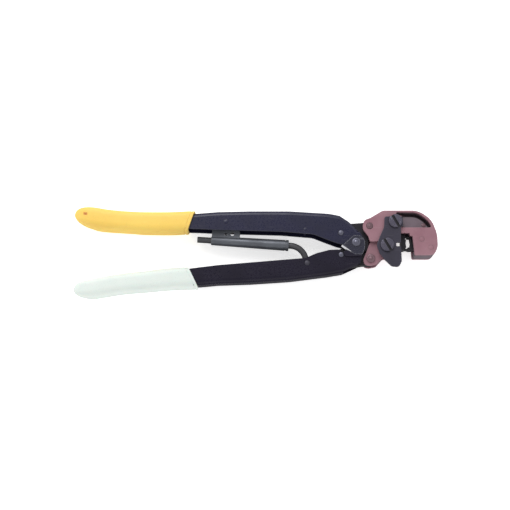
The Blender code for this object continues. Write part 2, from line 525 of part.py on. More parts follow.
def build_ratchet(steel, dark):
    """Ratchet: housing hung in the upper handle, toothed rod pinned in the lower one."""
    bm = bmesh.new()
    ends = [(*local(u, 0.0), MID) for u in (-HOUSING_HALF, HOUSING_HALF)]
    add_tube(bm, ends, HOUSING_ENDS[0], 32, end_radius=HOUSING_ENDS[1])
    housing = make_object("ratchet_housing", bm, steel, HANGER)
    web = rounded([(*local(-29.2, 1.0), 0), (*local(-8.0, 1.0), 0), (*local(-8.0, 8.4), 1.5),
                   (HANGER[0] + 5.0, HANGER[1] + 3.6, 4.0), (HANGER[0] - 5.0, HANGER[1] + 3.6, 4.0),
                   (*local(-29.2, 8.4), 1.5)])
    boolean(housing, "UNION", [
        cutter("hanger_web", web, -2.4, 2.4),
        cutter("hanger_boss", circle(HANGER, 3.6), -FLANGE_Z + CLEARANCE, FLANGE_Z - CLEARANCE),
    ])

    def bar_cutter(name, u0, u1, radius):
        bm = bmesh.new()
        add_tube(bm, [(*local(u0, 0.0), MID), (*local(u1, 0.0), MID)], radius, 32)
        return make_object("tool_" + name, bm, TOOL)

    pocket = [local(*p) for p in ((-28.5, 0.5), (-16.5, 0.5), (-15.9, 6.9), (-20.5, 7.2), (-28.5, 4.8))]
    boolean(housing, "DIFFERENCE", [
        bore("hanger_hole", HANGER, PIN_SMALL + CLEARANCE),
        bar_cutter("rod_bore", -HOUSING_HALF - 2, HOUSING_HALF + 2, ROD + CLEARANCE),
        bar_cutter("spring_bore", 5.0, HOUSING_HALF + 2, 3.7),
        cutter("pawl_pocket", pocket, -1.3, 1.3),
        bore("pawl_hole", PAWL, 1.0, -3.2, 3.2),
        bore("sight_hole", (-93.3, 8.0), 1.6),
    ])

    def ring(name, u0, u1, outer, look, inner=ROD + CLEARANCE):
        bm = bmesh.new()
        add_tube(bm, [(*local(u0, 0.0), MID), (*local(u1, 0.0), MID)], outer, 32)
        body = make_object(name, bm, look, HANGER)
        boolean(body, "DIFFERENCE", [bar_cutter(name, u0 - 1, u1 + 1, inner)])
        return body

    ring("ratchet_housing_cap", 24.6, 26.2, 3.4, dark)
    turns, steps = 6, 12
    bm = bmesh.new()
    coil = []
    for k in range(turns * steps + 1):
        angle, u = math.tau * k / steps, 5.9 + 9.2 * k / (turns * steps)
        x, y = local(u, 3.15 * math.cos(angle))
        coil.append((x, y, MID + 3.15 * math.sin(angle)))
    axis = Vector((*local(1, 0), 0)) - Vector((*local(0, 0), 0))
    add_tube(bm, coil, 0.4, 6, axis)
    make_object("return_spring", bm, dark, HANGER)

    pawl = prism("ratchet_pawl", [local(*p) for p in (
        (-26.6, ROD + 0.32), (-24.6, ROD + 0.45), (-19.0, 3.9), (-17.2, 4.6), (-17.4, 6.2), (-19.2, 6.4),
        (-26.0, 4.2))], -0.9, 0.9, dark, PAWL)
    boolean(pawl, "DIFFERENCE", [bore("pawl_pivot", PAWL, 0.95, -3, 3)])
    stack("pawl_pin", (PAWL, [(0.65, -2.4), (0.65, 2.4)]), steel, HANGER)

    bend = [local(u, 0.0) for u in (-40.0, 10.0, 31.0)]
    bend += [(-47.0, -1.15), (-44.8, -1.75), (-42.4, -3.0), (-40.2, -5.1), (-38.6, -7.8), (-37.5, -10.8),
             (-37.0, -13.6)]
    bm = bmesh.new()
    add_tube(bm, [(x, y, MID) for x, y in bend], ROD, 20)
    rod = make_object("ratchet_rod", bm, dark)
    bm = bmesh.new()
    add_tube(bm, [(*local(21.6, 0.0), MID), (*local(23.2, 0.0), MID)], 3.4, 32)
    collar = make_object("tool_collar", bm, TOOL)
    boolean(rod, "UNION", [
        cutter("rod_eye", circle(ROD_END, 4.2), -2.2, 2.2), collar,
    ])
    bm = bmesh.new()
    for k in range(TOOTH_COUNT):
        u = -28.6 + k * TOOTH_PITCH
        add_prism(bm, [local(u, 1.55), local(u + 1.25, 2.6), local(u, 2.6)], -3.0, 3.0)
    teeth = make_object("tool_teeth", bm, TOOL)
    boolean(rod, "DIFFERENCE", [
        teeth, bore("rod_eye_hole", ROD_END, PIN_SMALL + CLEARANCE + 0.15),
    ])

    for name, centre, origin in (("ratchet_housing_pin", HANGER, UPPER_LUG),
                                 ("ratchet_rod_pin", ROD_END, MAIN)):
        stack(name, (centre, [(PIN_SMALL, -CHANNEL_HALF), (PIN_SMALL, CHANNEL_HALF)]), steel,
              origin)
    for side, sign in (("front", 1), ("back", -1)):
        z0, z1 = sorted((sign * 2.5, sign * (FLANGE_Z - CLEARANCE)))
        washer(f"rod_washer_{side}", ROD_END, 3.4, PIN_SMALL + CLEARANCE, z0, z1, steel, MAIN)


def main():
    """Build the whole tool."""
    global TOOL
    clear_scene()
    TOOL = material("tool", (0.5, 0.5, 0.5), 0.0, 0.5)
    rose = material("frame_rose", (0.33, 0.16, 0.21), 0.5, 0.42)
    black = material("black_oxide", (0.045, 0.042, 0.055), 0.7, 0.42)
    dark = material("dark_steel", (0.11, 0.11, 0.14), 0.8, 0.4)
    grey = material("grey_steel", (0.16, 0.17, 0.2), 0.8, 0.45)
    upper_paint = material("upper_paint", (0.045, 0.045, 0.065), 0.3, 0.35)
    lower_paint = material("lower_paint", (0.03, 0.025, 0.035), 0.3, 0.35)
    yellow = material("yellow_grip", (0.95, 0.62, 0.12), 0.0, 0.5)
    white = material("white_grip", (0.78, 0.82, 0.8), 0.0, 0.45)
    build_frame(rose, dark)
    build_jaw(rose, dark, black)
    build_handles(upper_paint, lower_paint, dark, yellow, white)
    build_ratchet(grey, dark)


main()
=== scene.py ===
"""Looks of a long-handled ratchet crimping tool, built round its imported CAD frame.

Lengths are written in millimetres and turned into metres when a piece is finished. Heights, pins
and pivots are read from the frame's own nodes, so a piece always lies where the CAD has it.
"""

import logging
import math
from dataclasses import dataclass, replace
from enum import Enum

import bmesh
import bpy
from mathutils import Matrix, Vector


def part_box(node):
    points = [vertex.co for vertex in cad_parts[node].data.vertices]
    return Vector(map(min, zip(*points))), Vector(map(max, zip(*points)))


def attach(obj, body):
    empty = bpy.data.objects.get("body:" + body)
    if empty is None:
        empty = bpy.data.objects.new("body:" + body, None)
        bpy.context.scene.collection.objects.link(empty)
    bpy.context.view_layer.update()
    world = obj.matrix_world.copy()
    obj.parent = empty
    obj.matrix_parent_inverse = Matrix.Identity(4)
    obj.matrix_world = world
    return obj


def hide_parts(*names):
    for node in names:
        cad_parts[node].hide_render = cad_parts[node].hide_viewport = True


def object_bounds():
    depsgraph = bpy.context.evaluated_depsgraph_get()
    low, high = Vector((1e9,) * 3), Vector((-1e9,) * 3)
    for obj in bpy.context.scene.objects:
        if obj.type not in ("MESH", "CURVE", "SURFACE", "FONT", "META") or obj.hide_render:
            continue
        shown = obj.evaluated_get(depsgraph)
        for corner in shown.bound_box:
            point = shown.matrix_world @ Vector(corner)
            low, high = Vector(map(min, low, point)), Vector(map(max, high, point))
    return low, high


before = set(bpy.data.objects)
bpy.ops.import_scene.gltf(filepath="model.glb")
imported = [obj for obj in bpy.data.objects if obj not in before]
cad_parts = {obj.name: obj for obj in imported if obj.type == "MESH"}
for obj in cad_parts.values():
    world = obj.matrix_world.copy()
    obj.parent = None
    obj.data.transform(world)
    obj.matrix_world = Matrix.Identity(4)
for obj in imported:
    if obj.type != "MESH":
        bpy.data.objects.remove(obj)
CAD_LOW, CAD_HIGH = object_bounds()

MM = 0.001
GAP = 0.3               # clearance left round a pin
EDGE = 0.35             # usual rounding of a finished edge
FLUSH = GAP - 0.05      # how far a rivet painted over is spread into its hole
PIVOT = 2.6             # radius of the main pivot's shank
LUG = 2.25              # radius of the lug pins' shanks
MERGE = 0.0008          # points nearer than this are one
FLOOR_DROP = 0.2        # how far the floor lies below the tool
TOOL_LOW, TOOL_HIGH = -5.0, 30.0        # heights that a through cut reaches past
MAIN = (0.0, 0.0)       # the main pivot, seen from above
LOG = logging.getLogger("crimping_tool")

Colour = tuple[float, float, float]
Corner = tuple[float, float, float]
Point = tuple[float, float]


# ---------------------------------------------------------------- the frame's places


def span(node: str) -> tuple[float, float]:
    """Return the lowest and highest Z of a node, in millimetres."""
    low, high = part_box(node)
    return low.z / MM, high.z / MM


def centre_of(node: str) -> Point:
    """Return the middle of a node seen from above, in millimetres."""
    low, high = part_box(node)
    return (low.x + high.x) / 2 / MM, (low.y + high.y) / 2 / MM


def radius_of(node: str) -> float:
    """Return half the width in Y of a round upright node, in millimetres."""
    low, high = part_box(node)
    return (high.y - low.y) / 2 / MM


# ---------------------------------------------------------------- finishes


class Marks(Enum):
    """How the tool that made a surface left its marks."""

    SPRAYED = "sprayed"
    BRUSHED = "brushed"
    TURNED = "turned"
    MOULDED = "moulded"


@dataclass(frozen=True)
class Finish:
    """A surface finish; grain and relief are in millimetres."""

    name: str
    colour: Colour
    shade: Colour
    # colour on rubbed edges: real wear, and on the ears a painted highlight
    worn_and_sheen: Colour
    metallic: float
    roughness: float
    marks: Marks = Marks.SPRAYED
    spread: float = 0.08
    grain: float = 0.8
    relief: float = 0.02
    patch: float = 14.0
    wear_and_sheen: float = 0.6
    edge: float = 0.45
    specular: float = 0.5
    soft: float = 0.0

    def material(self, centre: Point = (0.0, 0.0)) -> bpy.types.Material:
        """Return the finish as a node material.

        Args:
            centre: where turned rings are centred, in millimetres.

        Returns:
            The material, shared by every piece that asks for the same finish and centre.
        """
        turned = self.marks is Marks.TURNED
        place = f"{centre[0]:.0f}_{centre[1]:.0f}" if turned else "finish"
        label = f"{self.name}_{place}"
        known = bpy.data.materials.get(label)
        return known or Brushwork(label, self).paint(centre)


class Brushwork:
    """Builds the node tree of one finish on object coordinates."""

    def __init__(self, label: str, finish: Finish) -> None:
        """Start an empty material with a Principled shader."""
        self.finish = finish
        self.material = bpy.data.materials.new(label)
        self.material.use_nodes = True
        self.tree = self.material.node_tree
        self.shader = self.tree.nodes["Principled BSDF"]
        self.material.diffuse_color = (*finish.colour, 1.0)

    def node(self, kind: str, **values: object) -> bpy.types.Node:
        """Add a node and set its plain properties."""
        made = self.tree.nodes.new(f"ShaderNode{kind}")
        for key, value in values.items():
            setattr(made, key, value)
        return made

    def link(self, source: bpy.types.NodeSocket, target: bpy.types.NodeSocket) -> None:
        """Join an output to an input."""
        self.tree.links.new(source, target)

    def mapped(self, coords: bpy.types.NodeSocket, centre: Point, stretch: Vector,
               turn: float = 0.0) -> bpy.types.NodeSocket:
        """Return object coordinates moved to a centre, turned about Z and stretched.

        Args:
            coords: object coordinates in metres.
            centre: the new origin, in millimetres.
            stretch: factor along each axis.
            turn: turn about Z, in degrees.

        Returns:
            The mapped vector socket.
        """
        move = self.node("Mapping")
        move.inputs["Location"].default_value = (-centre[0] * MM, -centre[1] * MM, 0.0)
        self.link(coords, move.inputs["Vector"])
        scale = self.node("Mapping")
        scale.inputs["Rotation"].default_value = (0.0, 0.0, math.radians(turn))
        scale.inputs["Scale"].default_value = stretch
        self.link(move.outputs["Vector"], scale.inputs["Vector"])
        return scale.outputs["Vector"]

    def noise(self, vector: bpy.types.NodeSocket, size: float, detail: float = 4.0,
              ) -> bpy.types.NodeSocket:
        """Return noise whose lumps are about the given size, in millimetres."""
        made = self.node("TexNoise")
        made.inputs["Scale"].default_value = 1.0 / (size * MM)
        made.inputs["Detail"].default_value = detail
        self.link(vector, made.inputs["Vector"])
        return made.outputs["Fac"]

    def ranged(self, value: bpy.types.NodeSocket, low: float, high: float, to_low: float = 0.0,
               to_high: float = 1.0) -> bpy.types.NodeSocket:
        """Return a value carried from one range to another, clamped."""
        made = self.node("MapRange")
        for name, number in (("From Min", low), ("From Max", high), ("To Min", to_low),
                             ("To Max", to_high)):
            made.inputs[name].default_value = number
        self.link(value, made.inputs["Value"])
        return made.outputs["Result"]

    def maths(self, operation: str, a: bpy.types.NodeSocket,
              b: bpy.types.NodeSocket | float) -> bpy.types.NodeSocket:
        """Return one arithmetic step of a varying value."""
        made = self.node("Math", operation=operation, use_clamp=operation == "MAXIMUM")
        self.link(a, made.inputs[0])
        if isinstance(b, float):
            made.inputs[1].default_value = b
        else:
            self.link(b, made.inputs[1])
        return made.outputs[0]

    def blend(self, factor: bpy.types.NodeSocket, a: bpy.types.NodeSocket | Colour,
              b: Colour) -> bpy.types.NodeSocket:
        """Return colour a turned into colour b by a varying factor."""
        made = self.node("Mix", data_type="RGBA")
        self.link(factor, made.inputs["Factor"])
        if isinstance(a, tuple):
            made.inputs[6].default_value = (*a, 1.0)
        else:
            self.link(a, made.inputs[6])
        made.inputs[7].default_value = (*b, 1.0)
        return made.outputs[2]

    def edges(self) -> bpy.types.NodeSocket:
        """Return a mask that is 1 on rubbed edges: real wear, and on the ears a painted highlight.
        """
        rounded = self.node("Bevel", samples=4)
        rounded.inputs["Radius"].default_value = self.finish.edge * MM
        flat = self.node("NewGeometry")
        dot = self.node("VectorMath", operation="DOT_PRODUCT")
        self.link(rounded.outputs["Normal"], dot.inputs[0])
        self.link(flat.outputs["Normal"], dot.inputs[1])
        return self.ranged(dot.outputs["Value"], 0.995, 0.86)

    def paint(self, centre: Point) -> bpy.types.Material:
        """Build the whole tree.

        Args:
            centre: where turned rings are centred, in millimetres.

        Returns:
            The finished material.
        """
        finish = self.finish
        coords = self.node("TexCoord").outputs["Object"]
        plain = self.mapped(coords, (0.0, 0.0), Vector((1.0, 1.0, 1.0)))
        stretch = {
            Marks.SPRAYED: Vector((1.0, 1.0, 1.0)), Marks.BRUSHED: Vector((0.06, 1.0, 1.0)),
            Marks.TURNED: Vector((1.0, 1.0, 1.0)), Marks.MOULDED: Vector((0.55, 1.0, 1.0)),
        }[finish.marks]
        along = self.mapped(coords, centre, stretch)
        grain = self.noise(along, finish.grain)
        drift = self.noise(plain, finish.patch, 3.0)
        speck = self.noise(plain, finish.grain * 0.45, 2.0)
        height = grain
        if finish.marks is Marks.TURNED:
            rings = self.node("TexWave", wave_type="RINGS", rings_direction="Z")
            rings.inputs["Scale"].default_value = 420.0
            rings.inputs["Distortion"].default_value = 1.5
            self.link(along, rings.inputs["Vector"])
            height = self.maths("ADD", rings.outputs["Fac"], self.maths("MULTIPLY", grain, 0.5))

        scuffs = self.mapped(coords, (0.0, 0.0), Vector((0.09, 1.0, 1.0)), 24.0)
        scuff = self.ranged(self.noise(scuffs, 1.1, 2.0), 0.66, 0.74, 0.0, 0.35)
        # Rubbed edges take the worn colour: real wear, and on the ear finish a painted highlight.
        rubbed_and_lit = self.maths("MULTIPLY", self.edges(), self.ranged(grain, 0.34, 0.6, 0.35, 1.0))
        wear_and_sheen_mask = self.maths("MULTIPLY", self.maths("MAXIMUM", rubbed_and_lit, scuff), finish.wear_and_sheen)

        tint = self.blend(self.ranged(drift, 0.35, 0.68), finish.colour, finish.shade)
        dusty = tuple(0.72 * part for part in finish.shade)
        tint = self.blend(self.ranged(speck, 0.6, 0.72, 0.0, 0.5), tint, dusty)
        tint = self.blend(wear_and_sheen_mask, tint, finish.worn_and_sheen)
        self.link(tint, self.shader.inputs["Base Color"])
        level = self.maths("ADD", self.ranged(grain, 0.3, 0.7, -finish.spread, finish.spread),
                           self.ranged(drift, 0.3, 0.7, finish.roughness - finish.spread / 2,
                                       finish.roughness + finish.spread / 2))
        self.link(level, self.shader.inputs["Roughness"])
        bump = self.node("Bump")
        bump.inputs["Strength"].default_value = 0.55
        bump.inputs["Distance"].default_value = finish.relief * MM
        self.link(height, bump.inputs["Height"])
        self.link(bump.outputs["Normal"], self.shader.inputs["Normal"])
        self.shader.inputs["Metallic"].default_value = finish.metallic
        self.shader.inputs["Specular IOR Level"].default_value = finish.specular
        self.shader.inputs["Subsurface Weight"].default_value = finish.soft
        self.shader.inputs["Subsurface Scale"].default_value = 2.0 * MM
        return self.material


ROSE = Finish("rose_enamel", (0.325, 0.166, 0.200), (0.265, 0.123, 0.155), (0.44, 0.33, 0.34),
              0.0, 0.44, spread=0.07, grain=0.7, relief=0.018, wear_and_sheen=0.55)
# A darker, greyer copy of the rose enamel for the nose spacer's face in the window: painted shade
# of the recess.
NOSE_SHADED_ROSE = replace(ROSE, name="nose_painted_shade", colour=(0.205, 0.160, 0.190),
                    shade=(0.165, 0.126, 0.150), worn_and_sheen=(0.36, 0.33, 0.34), metallic=0.3)
UPPER_PAINT = Finish("upper_enamel", (0.015, 0.015, 0.043), (0.010, 0.010, 0.032),
                     (0.14, 0.14, 0.16), 0.0, 0.3, spread=0.06, grain=0.9, wear_and_sheen=0.4, edge=0.5,
                     specular=0.42)
LOWER_PAINT = replace(UPPER_PAINT, name="lower_enamel", colour=(0.0155, 0.0130, 0.0260),
                      shade=(0.0110, 0.0090, 0.0190), worn_and_sheen=(0.09, 0.085, 0.10), specular=0.22)
# The ears' enamel is a lighter copy of the lower handle's paint with a bright, heavily rubbed rim.
# The lighter tone is painted light and the rim is a painted highlight.
EAR_LIT_ENAMEL = replace(LOWER_PAINT, name="ear_enamel_painted_highlight", colour=(0.026, 0.026, 0.044),
                    shade=(0.018, 0.018, 0.032), worn_and_sheen=(0.34, 0.34, 0.38), wear_and_sheen=0.85, edge=0.8,
                    specular=0.4)
BLACK_PLATE = Finish("black_oxide", (0.047, 0.043, 0.066), (0.034, 0.031, 0.048),
                     (0.20, 0.19, 0.22), 0.35, 0.4, Marks.BRUSHED, grain=0.5, relief=0.01,
                     wear_and_sheen=0.5)
DARK_STEEL = Finish("dark_steel", (0.030, 0.028, 0.036), (0.018, 0.016, 0.022),
                    (0.24, 0.23, 0.25), 0.5, 0.36, Marks.BRUSHED, grain=0.45, relief=0.012,
                    wear_and_sheen=0.55)
TURNED_STEEL = replace(DARK_STEEL, name="turned_steel", marks=Marks.TURNED, relief=0.02,
                       colour=(0.075, 0.072, 0.095), shade=(0.045, 0.042, 0.056))
SCREW_STEEL = replace(TURNED_STEEL, name="screw_steel", colour=(0.125, 0.117, 0.160),
                      shade=(0.085, 0.078, 0.110), metallic=0.7, roughness=0.32)
BRIGHT_PIN = replace(TURNED_STEEL, name="rivet_steel", colour=(0.16, 0.16, 0.21),
                     shade=(0.11, 0.11, 0.145), metallic=0.7, roughness=0.34)
BROWN_PIN = replace(TURNED_STEEL, name="brown_pin", colour=(0.215, 0.128, 0.150),
                    shade=(0.160, 0.092, 0.110), worn_and_sheen=(0.34, 0.24, 0.25), metallic=0.35,
                    roughness=0.42)
# Bright steel for the joggle strip: a painted highlight on the slope of the black sheet.
JOGGLE_HIGHLIGHT_STEEL = replace(TURNED_STEEL, name="joggle_painted_highlight", marks=Marks.BRUSHED,
                     colour=(0.78, 0.78, 0.80), shade=(0.62, 0.62, 0.65), worn_and_sheen=(0.9, 0.9, 0.9),
                     metallic=0.9, roughness=0.3)
GREY_STEEL = Finish("grey_steel", (0.140, 0.150, 0.172), (0.105, 0.112, 0.130),
                    (0.36, 0.37, 0.40), 0.45, 0.42, Marks.BRUSHED, grain=0.55, relief=0.015,
                    wear_and_sheen=0.55)
ROD_STEEL = replace(GREY_STEEL, name="rod_steel", colour=(0.085, 0.085, 0.092),
                    shade=(0.058, 0.058, 0.064), metallic=0.1, roughness=0.5, specular=0.3)
YELLOW = Finish("yellow_vinyl", (0.93, 0.64, 0.135), (0.89, 0.59, 0.118), (0.92, 0.76, 0.36),
                0.0, 0.46, Marks.MOULDED, spread=0.07, grain=1.3, relief=0.05, patch=26.0,
                wear_and_sheen=0.35, edge=0.8, specular=0.4, soft=0.06)
ORANGE = replace(YELLOW, name="gate_mark", colour=(0.75, 0.30, 0.06), shade=(0.62, 0.24, 0.05))
WHITE = replace(YELLOW, name="white_vinyl", colour=(0.785, 0.85, 0.805),
                shade=(0.725, 0.795, 0.75), worn_and_sheen=(0.83, 0.87, 0.845))


# ---------------------------------------------------------------- the workshop


class Blank:
    """A workpiece in millimetres, shaped by bmesh operators and finished as one piece."""

    def __init__(self) -> None:
        """Start with nothing on the bench."""
        self.bm = bmesh.new()

    def slab(self, corners: list[Corner], low: float, high: float, steps: int = 6) -> "Blank":
        """Add a flat slab with rounded corners.

        Args:
            corners: (x, y, radius) round the outline.
            low: height of the underside.
            high: height of the top.
            steps: segments in each rounded corner.

        Returns:
            This blank.
        """
        rim = [self.bm.verts.new((x, y, low)) for x, y, _ in corners]
        self.bm.faces.new(rim)
        ring = [Vector(c[:2]) for c in corners]
        for i, (vert, (_, _, radius)) in enumerate(zip(rim, corners)):
            if radius <= 0:
                continue
            before = (ring[i - 1] - ring[i]).normalized()
            after = (ring[(i + 1) % len(ring)] - ring[i]).normalized()
            reach = radius / math.tan(before.angle(after) / 2)
            bmesh.ops.bevel(self.bm, geom=[vert], affect="VERTICES", offset=reach,
                            offset_type="OFFSET", segments=steps, profile=0.5, material=-1)
        self.bm.normal_update()
        face = next(f for f in self.bm.faces if abs(f.normal.z) > 0.9)
        self.raise_face(face, high - low)
        return self

    def raise_face(self, face: bmesh.types.BMFace, height: float) -> None:
        """Extrude one flat face straight up and leave a closed solid."""
        made = bmesh.ops.extrude_face_region(self.bm, geom=[face])
        verts = [item for item in made["geom"] if isinstance(item, bmesh.types.BMVert)]
        bmesh.ops.translate(self.bm, verts=verts, vec=(0.0, 0.0, height))
        bmesh.ops.recalc_face_normals(self.bm, faces=self.bm.faces)

    def turned(self, profile: list[Point], centre: Point, segments: int = 48) -> "Blank":
        """Turn a profile about an upright axis.

        Args:
            profile: (radius, z) from the foot to the top, starting and ending on the axis or,
                for a ring, closing on itself.
            centre: where the axis stands.
            segments: steps in a full turn.

        Returns:
            This blank.
        """
        closed = profile[0] == profile[-1]
        points = profile[:-1] if closed else profile
        line = [self.bm.verts.new((centre[0] + r, centre[1], z)) for r, z in points]
        pairs = list(zip(line, line[1:])) + ([(line[-1], line[0])] if closed else [])
        edges = [self.bm.edges.new(pair) for pair in pairs]
        bmesh.ops.spin(self.bm, geom=edges + line, cent=(centre[0], centre[1], 0.0),
                       axis=(0.0, 0.0, 1.0), angle=math.tau, steps=segments, use_merge=True)
        bmesh.ops.remove_doubles(self.bm, verts=self.bm.verts, dist=0.0005)
        bmesh.ops.recalc_face_normals(self.bm, faces=self.bm.faces)
        return self

    def barrel(self, profile: list[Point], start: Point, tilt: float, height: float,
               segments: int = 40) -> "Blank":
        """Turn a profile about an axis that lies flat.

        Args:
            profile: (radius, distance along the axis).
            start: where distance 0 lies, seen from above.
            tilt: direction of the axis, in degrees from +X.
            height: height of the axis.
            segments: steps in a full turn.

        Returns:
            This blank.
        """
        ring = Blank().turned(profile, (0.0, 0.0), segments)
        lay = Matrix.Rotation(math.radians(90.0), 4, "Y")
        aim = Matrix.Rotation(math.radians(tilt), 4, "Z")
        place = Matrix.Translation((*start, height)) @ aim @ lay
        bmesh.ops.transform(ring.bm, matrix=place, verts=ring.bm.verts)
        self.take(ring)
        return self

    def take(self, other: "Blank") -> "Blank":
        """Add another blank's mesh beside this one's."""
        mesh = bpy.data.meshes.new("taken")
        other.bm.to_mesh(mesh)
        self.bm.from_mesh(mesh)
        bpy.data.meshes.remove(mesh)
        return self

    def combine(self, other: "Blank", operation: str) -> "Blank":
        """Cut another blank out of this one, or weld it on.

        Args:
            other: the cutter, or the piece to weld.
            operation: DIFFERENCE, UNION or INTERSECT.

        Returns:
            This blank.
        """
        body, tool = self.as_object("body"), other.as_object("tool")
        step = body.modifiers.new("combine", "BOOLEAN")
        step.operation = operation
        step.solver = "EXACT"
        step.object = tool
        bpy.context.view_layer.update()
        graph = bpy.context.evaluated_depsgraph_get()
        shaped = bpy.data.meshes.new_from_object(body.evaluated_get(graph))
        self.bm.free()
        self.bm = bmesh.new()
        self.bm.from_mesh(shaped)
        for obj in (body, tool):
            mesh = obj.data
            bpy.data.objects.remove(obj)
            bpy.data.meshes.remove(mesh)
        bpy.data.meshes.remove(shaped)
        bmesh.ops.remove_doubles(self.bm, verts=self.bm.verts, dist=MERGE)
        bmesh.ops.dissolve_limit(self.bm, angle_limit=math.radians(0.05), verts=self.bm.verts,
                                 edges=self.bm.edges)
        return self

    def cut(self, *tools: "Blank") -> "Blank":
        """Cut each tool out of this blank."""
        for tool in tools:
            self.combine(tool, "DIFFERENCE")
        return self

    def weld(self, *parts: "Blank") -> "Blank":
        """Weld each part onto this blank."""
        for part in parts:
            self.combine(part, "UNION")
        return self

    def as_object(self, name: str) -> bpy.types.Object:
        """Put a copy of the mesh in the scene, still in millimetres."""
        mesh = bpy.data.meshes.new(name)
        self.bm.to_mesh(mesh)
        obj = bpy.data.objects.new(name, mesh)
        bpy.context.scene.collection.objects.link(obj)
        return obj

    def soften(self, edges: list[bmesh.types.BMEdge], radius: float, segments: int) -> "Blank":
        """Round the given edges."""
        bmesh.ops.bevel(self.bm, geom=edges, affect="EDGES", offset=radius,
                        offset_type="OFFSET", segments=segments, profile=0.5, material=-1,
                        clamp_overlap=False)
        bmesh.ops.remove_doubles(self.bm, verts=self.bm.verts, dist=MERGE)
        self.bm.normal_update()
        return self

    def finish(self, name: str, body: str, finish: Finish, slot: str, *nodes: str,
               edge: float = EDGE, segments: int = 3, centre: Point = (0.0, 0.0),
               smooth: float = 32.0) -> bpy.types.Object:
        """Turn the blank into a finished piece.

        Args:
            name: the piece's name.
            body: the CAD body it rides on.
            finish: its surface finish.
            slot: the record's material slot; not used.
            nodes: the CAD nodes it stands for.
            edge: rounding of its sharp edges, or 0 for none.
            segments: steps in that rounding.
            centre: where turned marks are centred.
            smooth: edges sharper than this angle in degrees are rounded or kept crisp.

        Returns:
            The finished object.
        """
        bmesh.ops.scale(self.bm, verts=self.bm.verts, vec=(MM, MM, MM))
        mesh = bpy.data.meshes.new(name)
        self.bm.to_mesh(mesh)
        self.bm.free()
        piece = bpy.data.objects.new(name, mesh)
        bpy.context.scene.collection.objects.link(piece)
        mesh.shade_smooth()
        if edge > 0:
            rounding = piece.modifiers.new("rounding", "BEVEL")
            rounding.width = edge * MM
            rounding.segments = segments
            rounding.limit_method = "ANGLE"
            rounding.angle_limit = math.radians(smooth)
            rounding.profile = 0.5
            rounding.harden_normals = True
        else:
            mesh.set_sharp_from_angle(angle=math.radians(smooth))
        weighted = piece.modifiers.new("weighted", "WEIGHTED_NORMAL")
        weighted.keep_sharp = True
        mesh.materials.append(finish.material(centre))
        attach(piece, body)
        if nodes:
            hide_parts(*nodes)
        LOG.info("%s rides on %s (%d faces)", name, body, len(mesh.polygons))
        return piece


def drill(centre: Point, radius: float, low: float = TOOL_LOW,
          high: float = TOOL_HIGH) -> Blank:
    """Return a round cutter, as deep as the whole tool unless told otherwise."""
    return Blank().turned([(0.0, low), (radius, low), (radius, high), (0.0, high)], centre, 40)


def pin_hole(node: str, extra: float = GAP) -> Blank:
    """Return the cutter for the hole that a pin or a screw passes through."""
    return drill(centre_of(node), radius_of(node) + extra)


# ---------------------------------------------------------------- head


